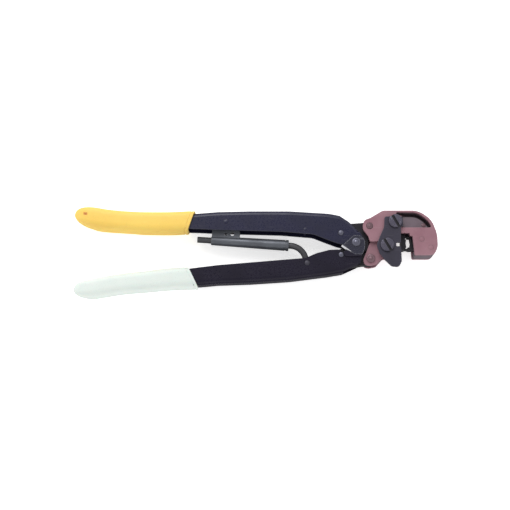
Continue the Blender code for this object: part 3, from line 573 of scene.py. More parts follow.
@dataclass
class Head:
    """C frame: two enamelled plates riveted round a nose spacer, with the fixed die."""

    body: str = "head"
    shank: float = 2.5
    groove_depth: float = 9.0
    left: tuple[Corner, ...] = (
        (5.6, 9.6, 2.5), (9.2, 4.5, 3.0), (10.4, 0.5, 1.0), (16.5, 0.5, 1.2), (18.2, 5.2, 1.5),
        (30.0, 5.2, 1.0), (31.5, 7.0, 1.0))
    curve: tuple[Corner, ...] = (
        (58.6, -9.75, 4.2), (61.4, -3.6, 10.0), (61.1, 6.5, 20.0), (57.2, 17.2, 14.0),
        (47.5, 24.3, 14.0))
    lug: tuple[Corner, ...] = (
        (20.4, 24.3, 6.0), (11.0, 18.6, 4.0), (6.2, 16.8, 3.5), (5.2, 12.5, 3.0))
    throat: tuple[Corner, ...] = ((40.4, 7.0, 0.7), (40.4, 4.9, 0.7), (42.5, 4.9, 0.7))
    window: tuple[Corner, ...] = (
        (34.8, 11.2, 0.8), (57.0, 11.2, 1.0), (55.4, 16.0, 12.0), (46.9, 23.0, 12.5),
        (30.6, 23.0, 0.8), (30.6, 20.4, 0.8), (34.8, 20.4, 0.8))
    nose: tuple[Corner, ...] = (
        (27.0, 24.3, 0.0), (27.0, 23.0, 0.4), (36.0, 23.0, 0.6), (36.0, 11.4, 1.0),
        (42.4, 9.2, 0.6), (43.2, 7.8, 0.4), (52.3, 7.8, 0.8), (52.3, -5.3, 0.6),
        (44.3, -5.3, 0.6), (44.3, -9.75, 0.8))
    groove: tuple[Corner, ...] = (
        (34.0, 19.8, 0.0), (45.9, 19.8, 9.5), (53.2, 14.4, 9.0), (55.9, 9.0, 0.0),
        (58.2, 9.0, 0.0), (56.0, 16.2, 12.0), (46.9, 22.9, 12.5), (34.0, 22.9, 0.0))

    def build(self) -> None:
        """Make every piece of the head."""
        self.plate("frame_plate_front", self.throat)
        self.plate("frame_plate_back", ((42.6, 7.0, 1.0),))
        self.spacer()
        self.die()
        rivet("nose_rivet_upper", self.body, 0.35, finish=BROWN_PIN)
        for node in ("nose_rivet_lower", "stationary_die_pin"):
            rivet(node, self.body, 0.2, finish=ROSE, slot="rose_enamel", swell=FLUSH)
        rivet("upper_lug_pin", self.body, 0.45, ring=1.3, finish=BROWN_PIN, swell=0.1)
        for node in ("upper_lug_washer_front", "upper_lug_washer_back"):
            washer(node, self.body, radius_of("upper_lug_pin") + GAP)
        slotted("jaw_pivot_screw", self.body, self.shank)

    def plate(self, node: str, throat: tuple[Corner, ...]) -> None:
        """Make one enamelled plate with its holes and its own shape of throat."""
        low, high = span(node)
        outline = self.left + throat + ((43.9, -9.75, 1.0),) + self.curve + self.lug
        blank = Blank().slab(list(outline), low, high)
        holes = ["upper_lug_pin", "nose_rivet_lower", "stationary_die_pin"]
        if node.endswith("front"):
            blank.cut(Blank().slab(list(self.window), low - 1.0, high + 1.0))
        else:
            holes.append("nose_rivet_upper")
        blank.cut(*(pin_hole(hole) for hole in holes))
        blank.cut(drill(centre_of("jaw_pivot_screw"), self.shank + GAP))
        blank.finish(node, self.body, ROSE, "rose_enamel", node, edge=0.5)

    def spacer(self) -> None:
        """Make the block that fills the nose between the plates."""
        low, high = span("nose_spacer")
        blank = Blank().slab(list(self.nose + self.curve), low, high)
        blank.cut(pin_hole("nose_rivet_upper", 0.05), pin_hole("nose_rivet_lower"))
        blank.cut(Blank().slab(list(self.groove), high - self.groove_depth, high + 1.0))
        # Its face in the window wears the darker copy of the enamel as painted shade.
        blank.finish("nose_spacer", self.body, NOSE_SHADED_ROSE, "rose_enamel", "nose_spacer", edge=0.3)

    def die(self) -> None:
        """Make the fixed die: a block with two prongs that straddle the nest."""
        low, high = span("stationary_die")
        middle = (low + high) / 2
        block = Blank().slab([(42.8, -5.0, 0.0), (52.0, -5.0, 0.6), (52.0, 7.4, 0.6),
                              (42.8, 7.4, 0.0)], low, high)
        prong = [(39.3, 7.4, 0.4), (39.3, 4.5, 0.4), (41.3, 4.5, 0.0), (41.9, 0.8, 0.8),
                 (41.3, -2.9, 0.0), (39.3, -2.9, 0.4), (39.3, -5.0, 0.4), (43.6, -5.0, 0.0),
                 (43.6, 7.4, 0.0)]
        block.weld(Blank().slab(prong, middle + 2.0, high), Blank().slab(prong, low, middle - 2.0))
        block.cut(pin_hole("stationary_die_pin"))
        block.finish("stationary_die", self.body, DARK_STEEL, "dark_steel", "stationary_die",
                     edge=0.2)


def rivet(node: str, body: str, crown: float, ring: float = 0.0,
          finish: Finish = TURNED_STEEL, slot: str = "dark_steel", swell: float = 0.0) -> None:
    """Make a pin or a rivet with crowned ends.

    Args:
        node: the CAD pin, which gives its place and size.
        body: the body it rides on.
        crown: how far its rounded ends come in.
        ring: radius of a peened groove in the top, or 0 for none.
        finish: its surface finish.
        slot: the record's material slot.
        swell: how far riveting has spread it into its clearance.
    """
    low, high = span(node)
    radius = radius_of(node) + swell
    top = [(radius, high - crown), (radius - crown * 0.3, high - crown * 0.3),
           (radius - crown, high)]
    if ring > 0:
        top += [(ring + 0.25, high), (ring, high - 0.3), (ring - 0.3, high), (0.0, high)]
    else:
        top += [(0.0, high)]
    foot = [(0.0, low), (radius - crown, low), (radius - crown * 0.3, low + crown * 0.3),
            (radius, low + crown)]
    centre = centre_of(node)
    blank = Blank().turned(foot + top, centre, 40)
    blank.finish(node, body, finish, slot, node, edge=0, centre=centre, smooth=50.0)


def washer(node: str, body: str, inner: float) -> None:
    """Make a flat ring with rounded rims, sized by its CAD node and its hole."""
    low, high = span(node)
    outer, rim = radius_of(node), 0.15
    profile = [(inner, low), (outer - rim, low), (outer, low + rim), (outer, high - rim),
               (outer - rim, high), (inner, high), (inner, low)]
    centre = centre_of(node)
    blank = Blank().turned(profile, centre, 48)
    blank.finish(node, body, TURNED_STEEL, "dark_steel", node, edge=0, centre=centre)


def slotted(node: str, body: str, shank: float) -> None:
    """Make a slotted cheese-head screw.

    Args:
        node: the CAD screw, which gives its place, height and head width.
        body: the body it rides on.
        shank: radius of its shank.
    """
    low, high = span(node)
    head, seat, rim = radius_of(node), high - 1.7, 0.55
    centre = centre_of(node)
    profile = [(0.0, low), (shank - 0.4, low), (shank, low + 0.4), (shank, seat), (head, seat),
               (head, high - rim), (head - 0.1, high - 0.32), (head - 0.28, high - 0.12),
               (head - rim, high), (head - 1.3, high), (head - 1.5, high - 0.12),
               (head - 1.7, high), (0.0, high)]
    blank = Blank().turned(profile, centre, 64)
    half = 1.05
    slot = Blank().slab([(-8.0, -half, 0.0), (8.0, -half, 0.0), (8.0, half, 0.0),
                         (-8.0, half, 0.0)], high - 1.4, high + 1.0)
    turn = Matrix.Translation((*centre, 0.0)) @ Matrix.Rotation(math.radians(120.0), 4, "Z")
    bmesh.ops.transform(slot.bm, matrix=turn, verts=slot.bm.verts)
    blank.cut(slot)
    # The faces inside the slot get the darker steel: painted shade in the slot.
    back = turn.inverted()
    for face in blank.bm.faces:
        inside = all(abs((back @ v.co).y) < half + 0.01 for v in face.verts)
        if inside and face.calc_center_median().z > seat:
            face.material_index = 1
    screw = blank.finish(node, body, SCREW_STEEL, "dark_steel", node, edge=0.12, segments=2,
                         centre=centre, smooth=45.0)
    screw.data.materials.append(DARK_STEEL.material())


# ---------------------------------------------------------------- moving jaw


@dataclass
class Jaw:
    """Moving jaw: side plates, block, moving die and the black cover plate."""

    body: str = "moving_jaw"
    shank: float = 2.5
    outline: tuple[Corner, ...] = (
        (5.5, -12.6, 2.6), (7.6, -7.6, 2.5), (10.4, -0.6, 3.0), (17.0, 6.0, 3.0),
        (20.5, 20.8, 4.0), (34.6, 20.8, 4.0), (34.6, 9.0, 2.0), (32.3, 1.5, 2.0),
        (32.3, -9.6, 1.0), (20.8, -10.6, 2.0), (15.6, -16.4, 2.6), (10.6, -17.4, 3.0),
        (6.2, -16.6, 3.0))
    block: tuple[Corner, ...] = (
        (17.6, -8.8, 1.0), (27.2, -8.8, 0.0), (27.2, 6.0, 0.0), (30.6, 6.0, 0.0),
        (34.2, 9.6, 1.5), (34.2, 20.6, 4.0), (22.6, 20.6, 4.0), (17.6, 5.0, 2.0))
    cover: tuple[Corner, ...] = (
        (15.2, -2.5, 5.0), (17.0, -8.5, 5.0), (21.0, -14.0, 5.0), (26.0, -18.9, 3.0),
        (31.6, -19.5, 2.6), (33.8, -15.0, 3.0), (33.5, -3.6, 0.6), (29.9, -3.6, 0.7),
        (29.9, -0.9, 0.7), (33.5, -0.9, 0.6), (33.6, 10.6, 1.0), (35.3, 12.2, 1.0),
        (35.3, 19.3, 1.2), (21.6, 19.3, 1.5), (21.0, 11.2, 5.0), (17.6, 3.6, 6.0))
    spacer: tuple[Corner, ...] = (
        (18.4, -7.5, 2.0), (24.5, -14.0, 2.0), (29.4, -14.0, 2.0), (29.2, 2.0, 1.5),
        (18.2, 2.0, 2.0))

    def build(self) -> None:
        """Make every piece of the moving jaw."""
        self.side_plate("jaw_side_plate_front", -4.2, 1.2)
        self.side_plate("jaw_side_plate_back", -1.6, 3.4)
        self.plain("jaw_block", self.block, ("jaw_pivot_screw", "jaw_clamp_screw"), DARK_STEEL,
                   "dark_steel", 0.3)
        self.plain("jaw_spacer", self.spacer, ("jaw_clamp_screw",), DARK_STEEL, "dark_steel", 0.3)
        self.plain("jaw_cover_plate", self.cover, ("jaw_pivot_screw", "jaw_clamp_screw"),
                   BLACK_PLATE, "black_oxide", 0.4)
        self.die()
        rivet("moving_die_pin", self.body, 0.2)
        rivet("lower_lug_pin", self.body, 0.45, ring=1.5, finish=BROWN_PIN)
        slotted("jaw_clamp_screw", self.body, self.shank)

    def side_plate(self, node: str, low_edge: float, high_edge: float) -> None:
        """Make one enamelled side plate with the notch that clears the nest."""
        low, high = span(node)
        blank = Blank().slab(list(self.outline), low, high)
        notch = [(29.9, low_edge, 0.6), (37.5, low_edge, 0.0), (37.5, high_edge, 0.0),
                 (29.9, high_edge, 0.6)]
        blank.cut(Blank().slab(notch, low - 1.0, high + 1.0))
        blank.cut(*(drill(centre_of(screw), self.shank + GAP)
                    for screw in ("jaw_pivot_screw", "jaw_clamp_screw")))
        blank.cut(drill(centre_of("lower_lug_pin"), LUG + GAP), pin_hole("moving_die_pin"))
        blank.finish(node, self.body, ROSE, "rose_enamel", node, edge=0.4)

    def plain(self, node: str, outline: tuple[Corner, ...], screws: tuple[str, ...],
              finish: Finish, slot: str, edge: float) -> None:
        """Make a flat piece that the jaw's screws pass through."""
        low, high = span(node)
        blank = Blank().slab(list(outline), low, high)
        blank.cut(*(drill(centre_of(screw), self.shank + GAP) for screw in screws))
        blank.finish(node, self.body, finish, slot, node, edge=edge)

    def die(self) -> None:
        """Make the moving die with its two horns and the nest's square window."""
        low, high = span("moving_die")
        middle = (low + high) / 2
        shape = [(27.5, -8.4, 0.4), (32.0, -8.4, 0.6), (33.4, -5.0, 0.5), (36.9, -5.0, 0.0),
                 (36.9, -3.2, 0.0), (38.4, -2.8, 0.2), (37.9, 0.2, 1.5), (38.4, 2.9, 0.2),
                 (37.6, 3.5, 0.0), (37.7, 7.4, 0.4), (33.2, 7.4, 0.5), (31.8, 5.6, 0.5),
                 (27.5, 5.6, 0.4)]
        blank = Blank().slab(shape, low, high)
        for y0, y1 in ((-5.0, -3.4), (5.0, 7.4)):
            horn = [(36.0, y0, 0.0), (40.4, y0, 0.4), (40.4, y1, 0.4), (36.0, y1, 0.0)]
            blank.weld(Blank().slab(horn, middle - 1.6, middle + 1.6))
        nest = [(29.9, -3.6, 0.5), (34.3, -3.6, 0.5), (34.3, 3.2, 0.5), (29.9, 3.2, 0.5)]
        blank.cut(pin_hole("moving_die_pin"), Blank().slab(nest, low - 1.0, high + 1.0))
        blank.finish("moving_die", self.body, DARK_STEEL, "dark_steel", "moving_die", edge=0.15)


# ---------------------------------------------------------------- handles


@dataclass
class Channel:
    """A handle pressed from sheet into a channel, open towards the other handle."""

    node: str
    body: str
    paint: Finish
    slot: str
    outline: tuple[Corner, ...]
    inside: tuple[Corner, ...]
    web_side: float                 # +1 where the closed side faces +Y, -1 where it faces -Y
    pins: tuple[str, ...]
    bend: float = 3.4
    sheet: float = 1.6
    half: float = 8.2

    def build(self) -> None:
        """Press the channel, cut its inside and drill it."""
        middle = sum(span("main_pivot_washer_front") + span("main_pivot_washer_back")) / 4
        low, high = middle - self.half, middle + self.half
        blank = Blank().slab(list(self.outline), low, high, 5)
        blank.soften(self.rim(blank, low, high), self.bend, 6)
        hollow = Blank().slab(list(self.inside), low + self.sheet, high - self.sheet, 5)
        hollow.soften(self.rim(hollow, low + self.sheet, high - self.sheet),
                      self.bend - self.sheet, 4)
        blank.cut(hollow)
        blank.cut(*(pin_hole(pin) for pin in self.pins))
        blank.finish(self.node, self.body, self.paint, self.slot, self.node, edge=0.4)

    def rim(self, blank: Blank, low: float, high: float) -> list[bmesh.types.BMEdge]:
        """Return the edges along the closed side, where the sheet is bent."""
        found = []
        for edge in blank.bm.edges:
            level = {round(v.co.z, 4) for v in edge.verts}
            if len(level) != 1 or level & {round(low, 4), round(high, 4)} != level:
                continue
            side = next((f for f in edge.link_faces if abs(f.normal.z) < 0.5), None)
            if side and side.normal.y * self.web_side > 0.55:
                found.append(edge)
        return found


@dataclass
class Handles:
    """Both handles with their levers, ears, rivets and the main pivot."""

    upper: str = "upper_handle"
    lower: str = "lower_handle"
    lap: float = 10.6
    upper_outline: tuple[Corner, ...] = (
        (-188.0, 23.3, 0), (-160.0, 21.3, 30), (-140.0, 21.2, 30), (-118.0, 23.1, 30),
        (-104.0, 24.2, 30), (-80.0, 24.75, 0), (-50.0, 24.75, 40), (-20.0, 22.9, 30),
        (-11.4, 21.2, 3.0), (-4.6, 16.6, 10.0), (2.4, 9.2, 10.0), (6.2, 2.6, 5.0),
        (5.8, -3.4, 4.6),
        (-3.6, -5.8, 4.6), (-8.0, -1.9, 2.0), (-14.0, -0.4, 4.0), (-22.0, 2.6, 8.0),
        (-32.0, 6.6, 12.0), (-56.0, 8.6, 30), (-85.0, 9.4, 0), (-104.0, 9.9, 30),
        (-118.0, 10.6, 30), (-140.0, 11.2, 30), (-160.0, 11.3, 30), (-188.0, 13.3, 0))
    upper_inside: tuple[Corner, ...] = (
        (-192.0, 21.8, 0), (-160.0, 19.7, 30), (-140.0, 19.6, 30), (-118.0, 21.5, 30),
        (-104.0, 22.6, 30), (-80.0, 23.15, 0), (-50.0, 23.15, 40), (-20.0, 21.3, 30),
        (-11.8, 19.6, 0), (-10.4, 30.0, 0), (12.0, 30.0, 0), (12.0, -14.0, 0), (-192.0, -14.0, 0))
    lower_outline: tuple[Corner, ...] = (
        (-188.0, -37.5, 0), (-188.0, -27.5, 0), (-160.0, -23.9, 30), (-140.0, -21.8, 30),
        (-118.0, -19.0, 30), (-104.0, -17.3, 0), (-60.0, -13.6, 30), (-38.0, -11.8, 12),
        (-30.0, -8.2, 8), (-20.0, -5.6, 6), (-13.0, -5.3, 3), (-10.0, -8.0, 2), (4.4, -8.6, 2.0),
        (3.0, -16.8, 4.0), (-9.0, -22.4, 10), (-22.0, -24.6, 30), (-50.0, -28.2, 40),
        (-80.0, -30.2, 30), (-104.0, -31.0, 30), (-118.0, -32.3, 30), (-140.0, -31.8, 30),
        (-160.0, -33.9, 30))
    lower_inside: tuple[Corner, ...] = (
        (-192.0, 14.0, 0), (-192.0, -36.3, 0), (-160.0, -32.3, 30), (-140.0, -30.2, 30),
        (-118.0, -30.7, 30), (-104.0, -29.4, 30), (-80.0, -28.6, 30), (-50.0, -26.6, 40),
        (-22.0, -23.0, 30), (-10.0, -20.4, 0), (-8.4, -32.0, 0), (12.0, -32.0, 0),
        (12.0, 14.0, 0))
    ear: tuple[Corner, ...] = (
        (-9.9, -2.0, 0.8), (-4.6, 2.7, 0.0), (-1.8, 5.3, 2.0), (2.8, 5.3, 3.6), (6.6, 2.2, 3.6),
        (6.6, -4.2, 4.0), (4.8, -9.4, 1.2), (-1.4, -9.4, 1.0))
    foot: tuple[Corner, ...] = (
        (-9.6, -6.4, 1.0), (-5.2, -6.4, 0.6), (-2.2, -7.4, 0.6), (4.9, -7.4, 0.8),
        (4.4, -10.6, 1.0), (-8.6, -10.6, 2.0))
    joggle: Point = (-6.8, -5.4)
    upper_lever: tuple[Corner, ...] = (
        (-34.0, 20.6, 2.0), (-34.0, 9.6, 2.0), (-10.5, 3.6, 2.5), (-8.0, -4.6, 4.0),
        (0.0, -9.4, 5.5), (9.6, -4.4, 3.0), (9.6, 4.8, 2.0), (15.4, 9.6, 4.5), (13.4, 17.6, 4.6),
        (5.2, 16.0, 5.0), (-8.6, 15.0, 6.0))
    lower_lever: tuple[Corner, ...] = (
        (-31.0, -10.0, 2.0), (-31.0, -22.0, 2.0), (-9.0, -18.8, 6.0), (5.6, -16.4, 5.0),
        (13.8, -17.0, 4.6), (16.0, -8.8, 4.5), (9.6, -4.8, 2.0), (9.6, 4.4, 3.0), (0.0, 9.4, 5.5),
        (-8.0, 4.6, 4.0), (-10.5, -4.0, 2.5))

    def build(self) -> None:
        """Make every piece of the two handles except the grips."""
        Channel("upper_handle_channel", self.upper, UPPER_PAINT, "upper_enamel",
                self.upper_outline, self.upper_inside, 1.0,
                ("upper_handle_rivet", "ratchet_housing_pin", "stop_pin")).build()
        Channel("lower_handle_channel", self.lower, LOWER_PAINT, "lower_enamel",
                self.lower_outline, self.lower_inside, -1.0,
                ("lower_handle_rivet", "ratchet_rod_pin")).build()
        self.ears()
        self.lever("upper_handle_lever", self.upper, self.upper_lever, -1.0,
                   ("upper_handle_rivet", "upper_lug_pin"))
        self.lever("lower_handle_lever", self.lower, self.lower_lever, 1.0,
                   ("lower_handle_rivet",))
        rivet("upper_handle_rivet", self.upper, 0.5, finish=BRIGHT_PIN, swell=0.2)
        rivet("lower_handle_rivet", self.lower, 0.5, finish=BRIGHT_PIN, swell=0.2)
        rivet("stop_pin", self.upper, 0.15, finish=UPPER_PAINT, slot="upper_enamel",
              swell=FLUSH)
        rivet("main_pivot_pin", self.upper, 0.5, ring=1.7, finish=BRIGHT_PIN)
        for side in ("front", "back"):
            washer(f"main_pivot_washer_{side}", self.upper, PIVOT + GAP)

    def ears(self) -> None:
        """Make the two raised ears that carry the lower handle on the main pivot."""
        low, high = span("lower_handle_channel")
        thick, step = 1.6, 0.5
        for side, base, sign in (("front", high - thick, 1.0), ("back", low, -1.0)):
            blank = Blank().slab(list(self.ear), base, base + thick, 8)
            blank.cut(drill(MAIN, PIVOT + GAP))
            # The ears take the lighter enamel: painted light and a painted rim highlight.
            blank.finish(f"lower_handle_ear_{side}", self.lower, EAR_LIT_ENAMEL, "lower_enamel",
                         "lower_handle_channel", edge=0.3)
            self.joggle_highlight_strip(side, base + thick / 2, sign)
            foot = (base - step, base + thick - 0.3) if sign > 0 else (base + 0.3,
                                                                      base + thick + step)
            Blank().slab(list(self.foot), *foot).finish(
                f"lower_handle_foot_{side}", self.lower, LOWER_PAINT, "lower_enamel",
                "lower_handle_channel", edge=0.3)

    def joggle_highlight_strip(self, side: str, level: float, sign: float) -> None:
        """Make the step where the sheet slants from the handle up to the ear, as a strip of bright
        steel that paints the highlight on the slope.
        """
        strip = Blank().slab([(-5.0, -0.85, 0.4), (5.0, -0.85, 0.4), (5.0, 0.85, 0.4),
                              (-5.0, 0.85, 0.4)], -0.25, 0.25)
        place = Matrix.Translation((*self.joggle, level)) @ Matrix.Rotation(
            math.radians(-36.0), 4, "Z") @ Matrix.Rotation(math.radians(45.0 * sign), 4, "X")
        bmesh.ops.transform(strip.bm, matrix=place, verts=strip.bm.verts)
        strip.finish(f"lower_handle_joggle_highlight_{side}", self.lower, JOGGLE_HIGHLIGHT_STEEL, "lower_enamel",
                     "lower_handle_channel", edge=0.1)

    def lever(self, node: str, body: str, outline: tuple[Corner, ...], keep: float,
              pins: tuple[str, ...]) -> None:
        """Make one forged lever, half as thick where it crosses the other."""
        low, high = span(node)
        middle = (low + high) / 2
        blank = Blank().slab(list(outline), low, high)
        cut = (low - 2.0, middle + GAP / 2) if keep < 0 else (middle - GAP / 2, high + 2.0)
        blank.cut(drill(MAIN, self.lap, *cut), drill(MAIN, PIVOT + GAP))
        blank.cut(*(pin_hole(pin) for pin in pins))
        if body == self.lower:
            blank.cut(drill(centre_of("lower_lug_pin"), LUG + 0.1 + GAP))
        blank.finish(node, body, DARK_STEEL, "dark_steel", node, edge=0.5)


@dataclass
class Grip:
    """A dipped vinyl sleeve with a rolled lip along its slanted mouth."""

    node: str
    body: str
    vinyl: Finish
    slot: str
    stations: tuple[tuple[float, float, float, float], ...]
    slant: float
    pocket: tuple[Point, ...]
    gate: Point | None = None
    power: float = 0.54
    around: int = 64
    lip: float = 2.2
    groove: float = 0.35

    def build(self) -> None:
        """Loft the sleeve, roll its lip and open its mouth."""
        low, high = span(self.node)
        middle = (low + high) / 2
        blank = Blank()
        loops = [self.loop(blank, middle, *station) for station in self.sections()]
        for near, far in zip(loops, loops[1:]):
            bmesh.ops.bridge_loops(blank.bm, edges=near + far)
        for loop in (loops[0], loops[-1]):
            bmesh.ops.edgeloop_fill(blank.bm, edges=loop)
        bmesh.ops.recalc_face_normals(blank.bm, faces=blank.bm.faces)
        room = 8.2 + GAP
        blank.cut(Blank().slab([(x, y, 0.0) for x, y in self.pocket], middle - room,
                               middle + room))
        if self.gate:
            blank.cut(drill(self.gate, 0.9, high - 1.5, high + 1.0))
            for face in blank.bm.faces:
                spot = face.calc_center_median()
                near = (spot.xy - Vector(self.gate)).length < 0.95
                face.material_index = int(near and spot.z > middle)
        blank.finish(self.node, self.body, self.vinyl, self.slot, self.node, edge=0.3,
                     smooth=40.0).data.materials.append(ORANGE.material())

    def sections(self) -> list[tuple[float, float, float, float, float]]:
        """Return (x, y, half height, half thickness, lean) sections from the end to the mouth."""
        rows = [(*row, 0.0) for row in self.smoothed()]
        x, y, tall, thick = self.stations[-1]
        rows = [row for row in rows if row[0] < x - 2.5 * self.lip - abs(self.slant) * tall]
        for back, shrink, lean in ((1.9, 0.0, 0.9), (1.35, 0.0, 1.0), (1.2, self.groove, 1.0),
                                   (1.0, self.groove, 1.0), (0.85, 0.0, 1.0), (0.12, 0.0, 1.0),
                                   (0.0, 0.3, 1.0)):
            rows.append((x - back * self.lip, y, tall - shrink, thick - shrink,
                         self.slant * lean))
        return rows

    def smoothed(self) -> list[tuple[float, float, float, float]]:
        """Return the stations with smooth ones worked out between them."""
        rows = [self.stations[0]]
        for i in range(len(self.stations) - 1):
            four = [self.stations[min(max(i + k, 0), len(self.stations) - 1)]
                    for k in (-1, 0, 1, 2)]
            for step in (0.33, 0.67, 1.0):
                rows.append(tuple(catmull(step, *values) for values in zip(*four)))
        return rows

    def loop(self, blank: Blank, middle: float, x: float, y: float, tall: float, thick: float,
             lean: float) -> list[bmesh.types.BMEdge]:
        """Add one rounded-square section.

        Args:
            blank: the sleeve being lofted.
            middle: height of the grip's middle plane.
            x: place along the tool.
            y: middle of the section.
            tall: half its height across the tool.
            thick: half its thickness.
            lean: how far the section leans along X for each millimetre across.

        Returns:
            The section's edges.
        """
        made = bmesh.ops.create_circle(blank.bm, cap_ends=False, radius=1.0,
                                       segments=self.around)
        verts = made["verts"]
        for vert in verts:
            across = math.copysign(abs(vert.co.x) ** self.power, vert.co.x) * tall
            rise = math.copysign(abs(vert.co.y) ** self.power, vert.co.y) * thick
            vert.co = (x + lean * across, y + across, middle + rise)
        return list({edge for vert in verts for edge in vert.link_edges})


def catmull(t: float, a: float, b: float, c: float, d: float) -> float:
    """Return the smooth value between b and c, with a before and d after."""
    return 0.5 * (2 * b + (c - a) * t + (2 * a - 5 * b + 4 * c - d) * t * t
                  + (3 * b - a - 3 * c + d) * t ** 3)


# ---------------------------------------------------------------- ratchet


@dataclass
class Ratchet:
    """Spring housing hung in the upper handle, and the toothed rod pinned in the lower one."""

    body: str = "ratchet_housing"
    tilt: float = -3.8
    middle: Point = (-80.0, 1.2)
    half: float = 29.5
    ends: Point = (3.5, 4.2)
    rod: float = 2.3
    bend_start: float = 31.0
    bend_radius: float = 12.4
    bend_angle: float = 76.2
    teeth: int = 8
    pitch: float = 1.5

    def build(self) -> None:
        """Make every piece of the ratchet."""
        self.housing()
        self.toothed_rod()
        self.spring()
        self.small_parts()

    @property
    def level(self) -> float:
        """Height of the rod's axis, in millimetres."""
        return sum(span("ratchet_rod_pin")) / 2

    def at(self, u: float, v: float) -> Point:
        """Return the point at (u, v) along and across the housing."""
        c, s = math.cos(math.radians(self.tilt)), math.sin(math.radians(self.tilt))
        return self.middle[0] + u * c - v * s, self.middle[1] + u * s + v * c

    def bar(self, profile: list[Point]) -> Blank:
        """Turn a (radius, u) profile about the housing's axis."""
        return Blank().barrel(profile, self.middle, self.tilt, self.level)

    def housing(self) -> None:
        """Make the tapered barrel with its hanger, bores, pawl pocket and sight hole."""
        thin, thick = self.ends
        h, bore = self.half, self.rod + GAP
        barrel = self.bar([
            (bore, -h), (thin - 0.4, -h), (thin, -h + 0.4), (thick - 0.05, h - 3.0),
            (thick - 0.35, h - 2.8), (thick - 0.35, h - 2.2), (thick, h - 2.0), (thick, h - 0.5),
            (thick - 0.35, h), (3.7, h), (3.7, 5.0), (bore, 5.0), (bore, -h)])
        hanger = centre_of("ratchet_housing_pin")
        web = [(*self.at(-29.2, 1.0), 0.0), (*self.at(-8.0, 1.0), 0.0),
               (*self.at(-8.0, 8.4), 1.5), (hanger[0] + 5.0, hanger[1] + 3.6, 4.0),
               (hanger[0] - 5.0, hanger[1] + 3.6, 4.0), (*self.at(-29.2, 8.4), 1.5)]
        plate = Blank().slab(web, self.level - 2.4, self.level + 2.4)
        rim = [e for e in plate.bm.edges if abs(e.verts[0].co.z - e.verts[1].co.z) < 1e-5]
        plate.soften(rim, 0.4, 3)
        boss = Blank().turned([
            (0.0, self.level - 6.3), (3.3, self.level - 6.3), (3.6, self.level - 6.0),
            (3.6, self.level + 6.0), (3.3, self.level + 6.3), (0.0, self.level + 6.3)], hanger)
        plate.weld(boss)
        core = self.bar([(0.0, -h - 2.0), (bore, -h - 2.0), (bore, h + 2.0), (0.0, h + 2.0)])
        pocket = [(*self.at(u, v), 0.0) for u, v in ((-28.5, 0.5), (-16.5, 0.5), (-15.9, 6.9),
                                                     (-20.5, 7.2), (-28.5, 4.8))]
        plate.cut(core)
        barrel.weld(plate)
        barrel.cut(pin_hole("ratchet_housing_pin"),
                   Blank().slab(pocket, self.level - 1.3, self.level + 1.3),
                   drill(centre_of("pawl_pin"), 1.0, self.level - 3.2, self.level + 3.2),
                   drill((-93.3, 8.0), 1.6))
        barrel.finish("ratchet_housing", self.body, GREY_STEEL, "grey_steel", "ratchet_housing",
                      edge=0, smooth=38.0)

    def toothed_rod(self) -> None:
        """Make the round rod: straight, bent down, and ending in a flat eye."""
        start, turn_at = self.at(-40.0, 0.0), self.at(self.bend_start, 0.0)
        aim = Vector((math.cos(math.radians(self.tilt)), math.sin(math.radians(self.tilt)), 0.0))
        blank = Blank()
        made = bmesh.ops.create_circle(blank.bm, cap_ends=True, radius=self.rod, segments=32)
        lay = Matrix.Translation((*start, self.level)) @ Matrix.Rotation(
            math.radians(self.tilt), 4, "Z") @ Matrix.Rotation(math.radians(90.0), 4, "Y")
        bmesh.ops.transform(blank.bm, matrix=lay, verts=made["verts"])
        face = blank.bm.faces[:][0]
        end = self.push(blank, face, (Vector(turn_at) - Vector(start)).length * aim)
        right = Vector((aim.y, -aim.x, 0.0))
        centre = Vector((*turn_at, self.level)) + right * self.bend_radius
        spun = bmesh.ops.spin(blank.bm, geom=[end], cent=centre, axis=(0.0, 0.0, 1.0),
                              angle=-math.radians(self.bend_angle), steps=16)
        end = next(item for item in spun["geom_last"] if isinstance(item, bmesh.types.BMFace))
        down = Matrix.Rotation(-math.radians(self.bend_angle), 3, "Z") @ aim
        self.push(blank, end, down * 2.4)
        inner = [f for f in blank.bm.faces if len(f.verts) > 4 and self.buried(f)]
        bmesh.ops.delete(blank.bm, geom=inner, context="FACES_ONLY")
        bmesh.ops.recalc_face_normals(blank.bm, faces=blank.bm.faces)
        eye = centre_of("ratchet_rod_pin")
        z = self.level
        blank.weld(Blank().turned([(0.0, z - 2.2), (3.9, z - 2.2), (4.2, z - 1.9),
                                   (4.2, z + 1.9), (3.9, z + 2.2), (0.0, z + 2.2)], eye))
        for k in range(self.teeth):
            u = -28.6 + k * self.pitch
            tooth = [(*self.at(u, 1.55), 0.0), (*self.at(u + 1.25, 2.6), 0.0),
                     (*self.at(u, 2.6), 0.0)]
            blank.cut(Blank().slab(tooth, z - 3.0, z + 3.0))
        blank.cut(drill(eye, radius_of("ratchet_rod_pin") + GAP + 0.15))
        blank.take(self.bar([(self.rod - 0.2, 21.6), (3.2, 21.6), (3.4, 21.8), (3.4, 23.0),
                             (3.2, 23.2), (self.rod - 0.2, 23.2), (self.rod - 0.2, 21.6)]))
        blank.finish("ratchet_rod", "ratchet_rod", ROD_STEEL, "dark_steel", "ratchet_rod",
                     edge=0.15, segments=2, smooth=40.0)

    def push(self, blank: Blank, face: bmesh.types.BMFace, step: Vector) -> bmesh.types.BMFace:
        """Extrude one end face by a step and return the new end."""
        made = bmesh.ops.extrude_face_region(blank.bm, geom=[face])
        verts = [item for item in made["geom"] if isinstance(item, bmesh.types.BMVert)]
        bmesh.ops.translate(blank.bm, verts=verts, vec=step)
        return next(item for item in made["geom"] if isinstance(item, bmesh.types.BMFace))

    def buried(self, face: bmesh.types.BMFace) -> bool:
        """Tell whether a round section lies inside the rod, with wall on both sides of it."""
        return all(len(edge.link_faces) > 2 for edge in face.edges)

